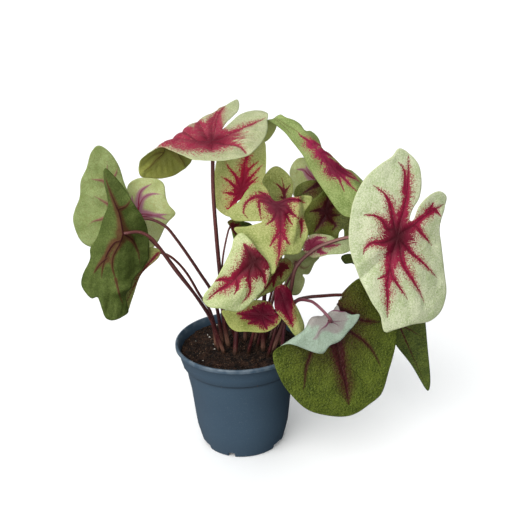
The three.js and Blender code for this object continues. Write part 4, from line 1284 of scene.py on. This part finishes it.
# Front leaf on the left: hangs on edge and folds back along both sides.
leaf(
    "left_front",
    hub=(-91, -45, 226),
    heading=-154, pitch=-78, roll=100,
    bends=[
        dict(at=(4, 0), toward=90, angle=42, radius=10),
        dict(at=(-6, 0), toward=-90, angle=30, radius=14),
    ],
    outline=[(0, 78), (-5, 76), (-14, 59), (-19, 61), (-29, 52), (-29, 43), (-24, 27), (-25, 19),
        (-20, 8), (-16, -11), (-13, -22), (-18, -39), (-18, -50), (-5, -39), (3, -29), (9, -19),
        (22, -1), (28, 25), (25, 34), (16, 41), (9, 51), (12, 62), (16, 72), (9, 75)],
    creases=[
        ([(-3, 48), (-4, 60), (-5, 72)], 1, 2.5),
        ([(-9, 42), (-9, 54), (-8, 66)], -0.8, 2.5),
        ([(-15, 38), (-14, 48), (-13, 58)], 1, 3),
        ([(3, 52), (3, 64), (3, 75)], -0.9, 2.5),
        ([(7, 50), (9, 62), (9, 72)], 1, 2.5),
        ([(-20, 28), (-22, 40), (-22, 50)], -0.9, 3),
        ([(4, -28), (10, -18), (23, 0), (28, 25)], -5, 12),
        ([(-18, -48), (-7, -22), (0, 0)], -4.5, 9),
        ([(0, 0), (-1, 25), (2, 50)], -2.5, 12),
        ([(2, 50), (14, 46), (28, 38)], -4, 7),
    ],
    veins=[
        (4, 0.8, [(0, 0), (-4, -14), (-7, -21), (-12, -33), (-18, -47)]),
        (5, 1, [(0, 0), (-1, 7), (-5, 9), (-10, 21), (-12, 33), (-12, 43)]),
        (3, 0.7, [(0, 0), (-1, 9), (-5, 20), (-5, 29), (-1, 40), (3, 47)]),
        (3, 0.6, [(0, 0), (7, 5), (16, 16), (21, 30)]),
        (2, 0.5, [(-6, -19), (0, -22), (4, -30)]),
        (3, 0.6, [(-10, 24), (-16, 32), (-20, 41)]),
        (0.9, 0.4, [(-1, 40), (4, 55), (10, 67)]),
    ],
    stalk=[(-13, -13, 88), (-24, -19, 131), (-33, -25, 153), (-51, -36, 189), (-62, -42, 210),
        (-68, -45, 220), (-77, -47, 226)],
    stalk_radius=1.7,
    look="deep", spread=0.8,
)

# Level leaf on the left, turned over so that its lobes point away from the pot.
leaf(
    "left_back",
    hub=(-88, 15, 219),
    heading=9, pitch=1, roll=-99,
    bends=[
        dict(at=(4, 0), toward=90, angle=20, radius=20),
        dict(at=(-4, 0), toward=-90, angle=20, radius=20),
    ],
    outline=[(0, 34), (-8, 26), (-28, 15), (-34, 8), (-29, 0), (-14, -8), (-1, -6), (5, -8), (28, -6),
        (33, -1), (35, 8), (33, 20), (28, 26), (15, 27), (8, 29)],
    veins=[
        (4, 0.8, [(0, 0), (10, 2), (22, 5), (29, 16)]),
        (3, 0.7, [(0, 0), (10, 3), (16, 7), (19, 14), (18, 24)]),
        (3, 0.7, [(0, 0), (2, 3), (-1, 18), (-6, 27)]),
        (3, 0.7, [(0, 0), (10, -3), (19, -3)]),
        (3, 0.6, [(0, 0), (0, 14), (0, 28)]),
    ],
    stalk=[(-16, 4, 88), (-23, 5, 145), (-34, 5, 167), (-54, 4, 202), (-62, 4, 213), (-74, 6, 219)],
    stalk_radius=1.7,
    look="blush", spread=1.4,
)

# Narrow leaf hanging on edge behind the front left one.
leaf(
    "left_narrow",
    hub=(-82, -28, 185),
    heading=-153, pitch=-67, roll=-53,
    bends=[
        dict(at=(1, 0), toward=90, angle=40, radius=6),
    ],
    outline=[(0, 40), (-1, 25), (-2, 3), (-12, -17), (-11, -22), (-1, -21), (2, -2), (9, 23), (6, 34)],
    veins=[
        (0.8, 0.5, [(-10, -19), (-3, -2), (1, 15), (3, 32)]),
    ],
    joint=(-10.1, -19.3),
    stalk=[(-19, -8, 88), (-25, -10, 135), (-34, -13, 154), (-43, -18, 176), (-51, -23, 190),
        (-58, -27, 198)],
    stalk_radius=1.4,
    neck=3,
    look="olive", ripple=0.5,
)

# Small leaf inside the crown, turned on its side.
leaf(
    "inner_low",
    hub=(40, -15, 180),
    heading=-163, pitch=-49, roll=-95,
    bends=[
        dict(at=(2, 0), toward=90, angle=-30, radius=6),
    ],
    outline=[(1, 38), (-2, 32), (-10, 16), (-10, -3), (-3, -8), (4, -7), (7, 0), (5, 16), (2, 25)],
    veins=[
        (5, 1, [(0, 0), (0, 16), (0, 32)]),
        (4, 0.8, [(0, 0), (4, 8)]),
        (4, 0.8, [(0, 2), (-7, 10)]),
        (3, 0.7, [(0, 0), (-7, -2)]),
        (3, 0.6, [(0, 12), (-6, 20)]),
    ],
    stalk=[(14, -3, 88), (28, -6, 144)],
    stalk_radius=1.4,
    look="olive", spread=0.6,
)

# Small round leaf rising behind the middle of the crown.
leaf(
    "inner_round",
    hub=(41, -4, 239),
    heading=124, pitch=69, roll=-26,
    bends=[
        dict(at=(3, 0), toward=90, angle=20, radius=10),
        dict(at=(-3, 0), toward=-90, angle=20, radius=10),
    ],
    outline=[(-4, 27), (-15, 17), (-13, 10), (-13, 1), (-2, -4), (7, -2), (11, 14), (2, 27)],
    veins=[
        (2.5, 0.6, [(0, 0), (1, -1), (3, 8), (3, 17)]),
        (2, 0.5, [(2, 5), (-1, 11), (-5, 15)]),
        (2, 0.5, [(2, 3), (6, 7), (10, 10)]),
    ],
    stalk=[(12, 6, 88), (27, 8, 158), (39, 4, 207)],
    stalk_radius=1.4,
    look="olive", spread=0.4,
)

# Small leaf at the top right of the crown, leaning back.
leaf(
    "back_high",
    hub=(72, 38, 243),
    heading=159, pitch=46, roll=116,
    bends=[
        dict(at=(4, 0), toward=90, angle=25, radius=12),
    ],
    outline=[(0, 25), (-7, 20), (-11, 9), (-8, -3), (2, -9), (23, -3), (26, 2), (19, 11), (13, 21)],
    veins=[
        (4, 0.8, [(0, 0), (2, 8), (2, 13), (7, 19)]),
        (3, 0.6, [(0, 0), (0, 9), (-2, 16)]),
        (3, 0.6, [(0, 0), (8, 1), (15, 2)]),
    ],
    stalk=[(18, 17, 88), (34, 27, 140), (45, 33, 197), (58, 35, 229)],
    stalk_radius=1.6,
    look="blush", shade="rosy",
)

# Small dark leaf under the long one.
leaf(
    "back_small",
    hub=(69, 23, 236),
    heading=-165, pitch=-11, roll=-63,
    bends=[
        dict(at=(0, 4), toward=0, angle=-25, radius=8),
    ],
    outline=[(1, 17), (-10, 1), (-12, -8), (-8, -13), (5, -8), (10, -3), (10, 10), (7, 15)],
    veins=[
        (0.4, 0.4, [(0, 0), (0, 13)]),
        (0.4, 0.3, [(0, 0), (-7, -7)]),
        (1.8, 1.4, [(5, -6), (3, 2), (1, 11)]),
    ],
    stalk=[(26, 12, 88), (42, 22, 142), (57, 27, 199)],
    stalk_radius=1.3,
    look="wine", spread=0.6,
)

# Upright dark leaf behind the crown on the right.
leaf(
    "back_dark",
    hub=(80, 15, 220),
    heading=61, pitch=73, roll=44,
    bends=[
        dict(at=(8, 0), toward=90, angle=25, radius=14),
    ],
    outline=[(2, 25), (-10, 12), (-17, 7), (-22, -1), (-20, -15), (-14, -23), (-5, -21), (4, -21),
        (14, -24), (15, -17), (18, -14), (22, -32), (29, -30), (29, -13), (26, 6), (15, 19)],
    veins=[
        (6, 1, [(0, 0), (0, 7), (2, 16)]),
        (4, 0.8, [(0, -4), (-4, -11), (-9, -20)]),
        (4, 0.8, [(0, 0), (7, -9), (11, -11), (8, -17)]),
        (4, 0.7, [(0, 0), (1, -3), (13, -2)]),
        (4, 0.7, [(0, 0), (-8, 0), (-15, -2)]),
        (3, 0.6, [(0, 0), (12, 10), (20, 2)]),
    ],
    stalk=[(30, 6, 88), (42, 15, 125), (50, 24, 148), (62, 26, 175), (71, 22, 198)],
    stalk_radius=1.7,
    look="wine", spread=0.8,
)

# Narrow leaf lying level at the right of the crown.
leaf(
    "mid_right",
    hub=(66, -1, 193),
    heading=-16, pitch=4, roll=58,
    bends=[
        dict(at=(0, 12), toward=0, angle=-25, radius=14),
    ],
    outline=[(-4, 38), (-9, 30), (-7, 22), (-10, 16), (-10, -2), (2, -8), (10, 1), (7, 17), (5, 29),
        (1, 36)],
    veins=[
        (5, 1, [(0, 0), (-2, 8), (-1, 16), (-3, 27)]),
        (4, 0.8, [(0, 0), (-7, 4), (-8, 13)]),
        (3, 0.7, [(0, 0), (-6, -3)]),
        (3, 0.7, [(0, 0), (5, -2)]),
        (3, 0.6, [(0, 6), (5, 8), (6, 15)]),
    ],
    stalk=[(19, 1, 88), (39, 2, 145), (51, 3, 169)],
    stalk_radius=1.3,
    look="mauve", spread=0.9, ripple=0.6,
)

# Small leaf below it, hanging nearly upright.
leaf(
    "mid_low",
    hub=(53, 18, 171),
    heading=-86, pitch=-78, roll=-171,
    bends=[
        dict(at=(4, 0), toward=90, angle=30, radius=10),
    ],
    outline=[(-4, 31), (-9, 26), (-11, 13), (-9, -9), (1, -11), (12, -10), (24, -3), (18, 3), (12, 12),
        (6, 12), (8, 17), (2, 30)],
    veins=[
        (3, 0.7, [(0, 0), (-2, 14), (-3, 26)]),
        (3, 0.6, [(0, 0), (7, 6), (15, 3)]),
        (3, 0.6, [(0, 0), (-7, 5)]),
        (2, 0.5, [(0, 0), (12, -6)]),
    ],
    stalk=[(25, 2, 88), (41, 5, 125), (48, 10, 149)],
    stalk_radius=1.3,
    look="olive", spread=0.6,
)

# Slim young leaf behind the front stalks.
leaf(
    "inner_slim",
    hub=(-3, -8, 216),
    heading=15, pitch=-25, roll=58,
    bends=[
        dict(at=(0, 5), toward=0, angle=-20, radius=10),
    ],
    outline=[(-4, 27), (-9, 19), (-7, 7), (-6, -1), (-2, -5), (2, -1), (16, 8), (9, 18)],
    veins=[
        (2, 0.5, [(0, 0), (-1, 12), (-3, 23)]),
        (2, 0.5, [(0, 0), (7, 6)]),
        (1.5, 0.5, [(0, 0), (-4, 6)]),
    ],
    stalk=[(-3, 5, 88), (-14, 1, 157), (-13, -3, 181), (-9, -6, 202)],
    stalk_radius=1.1,
    look="deep",
)
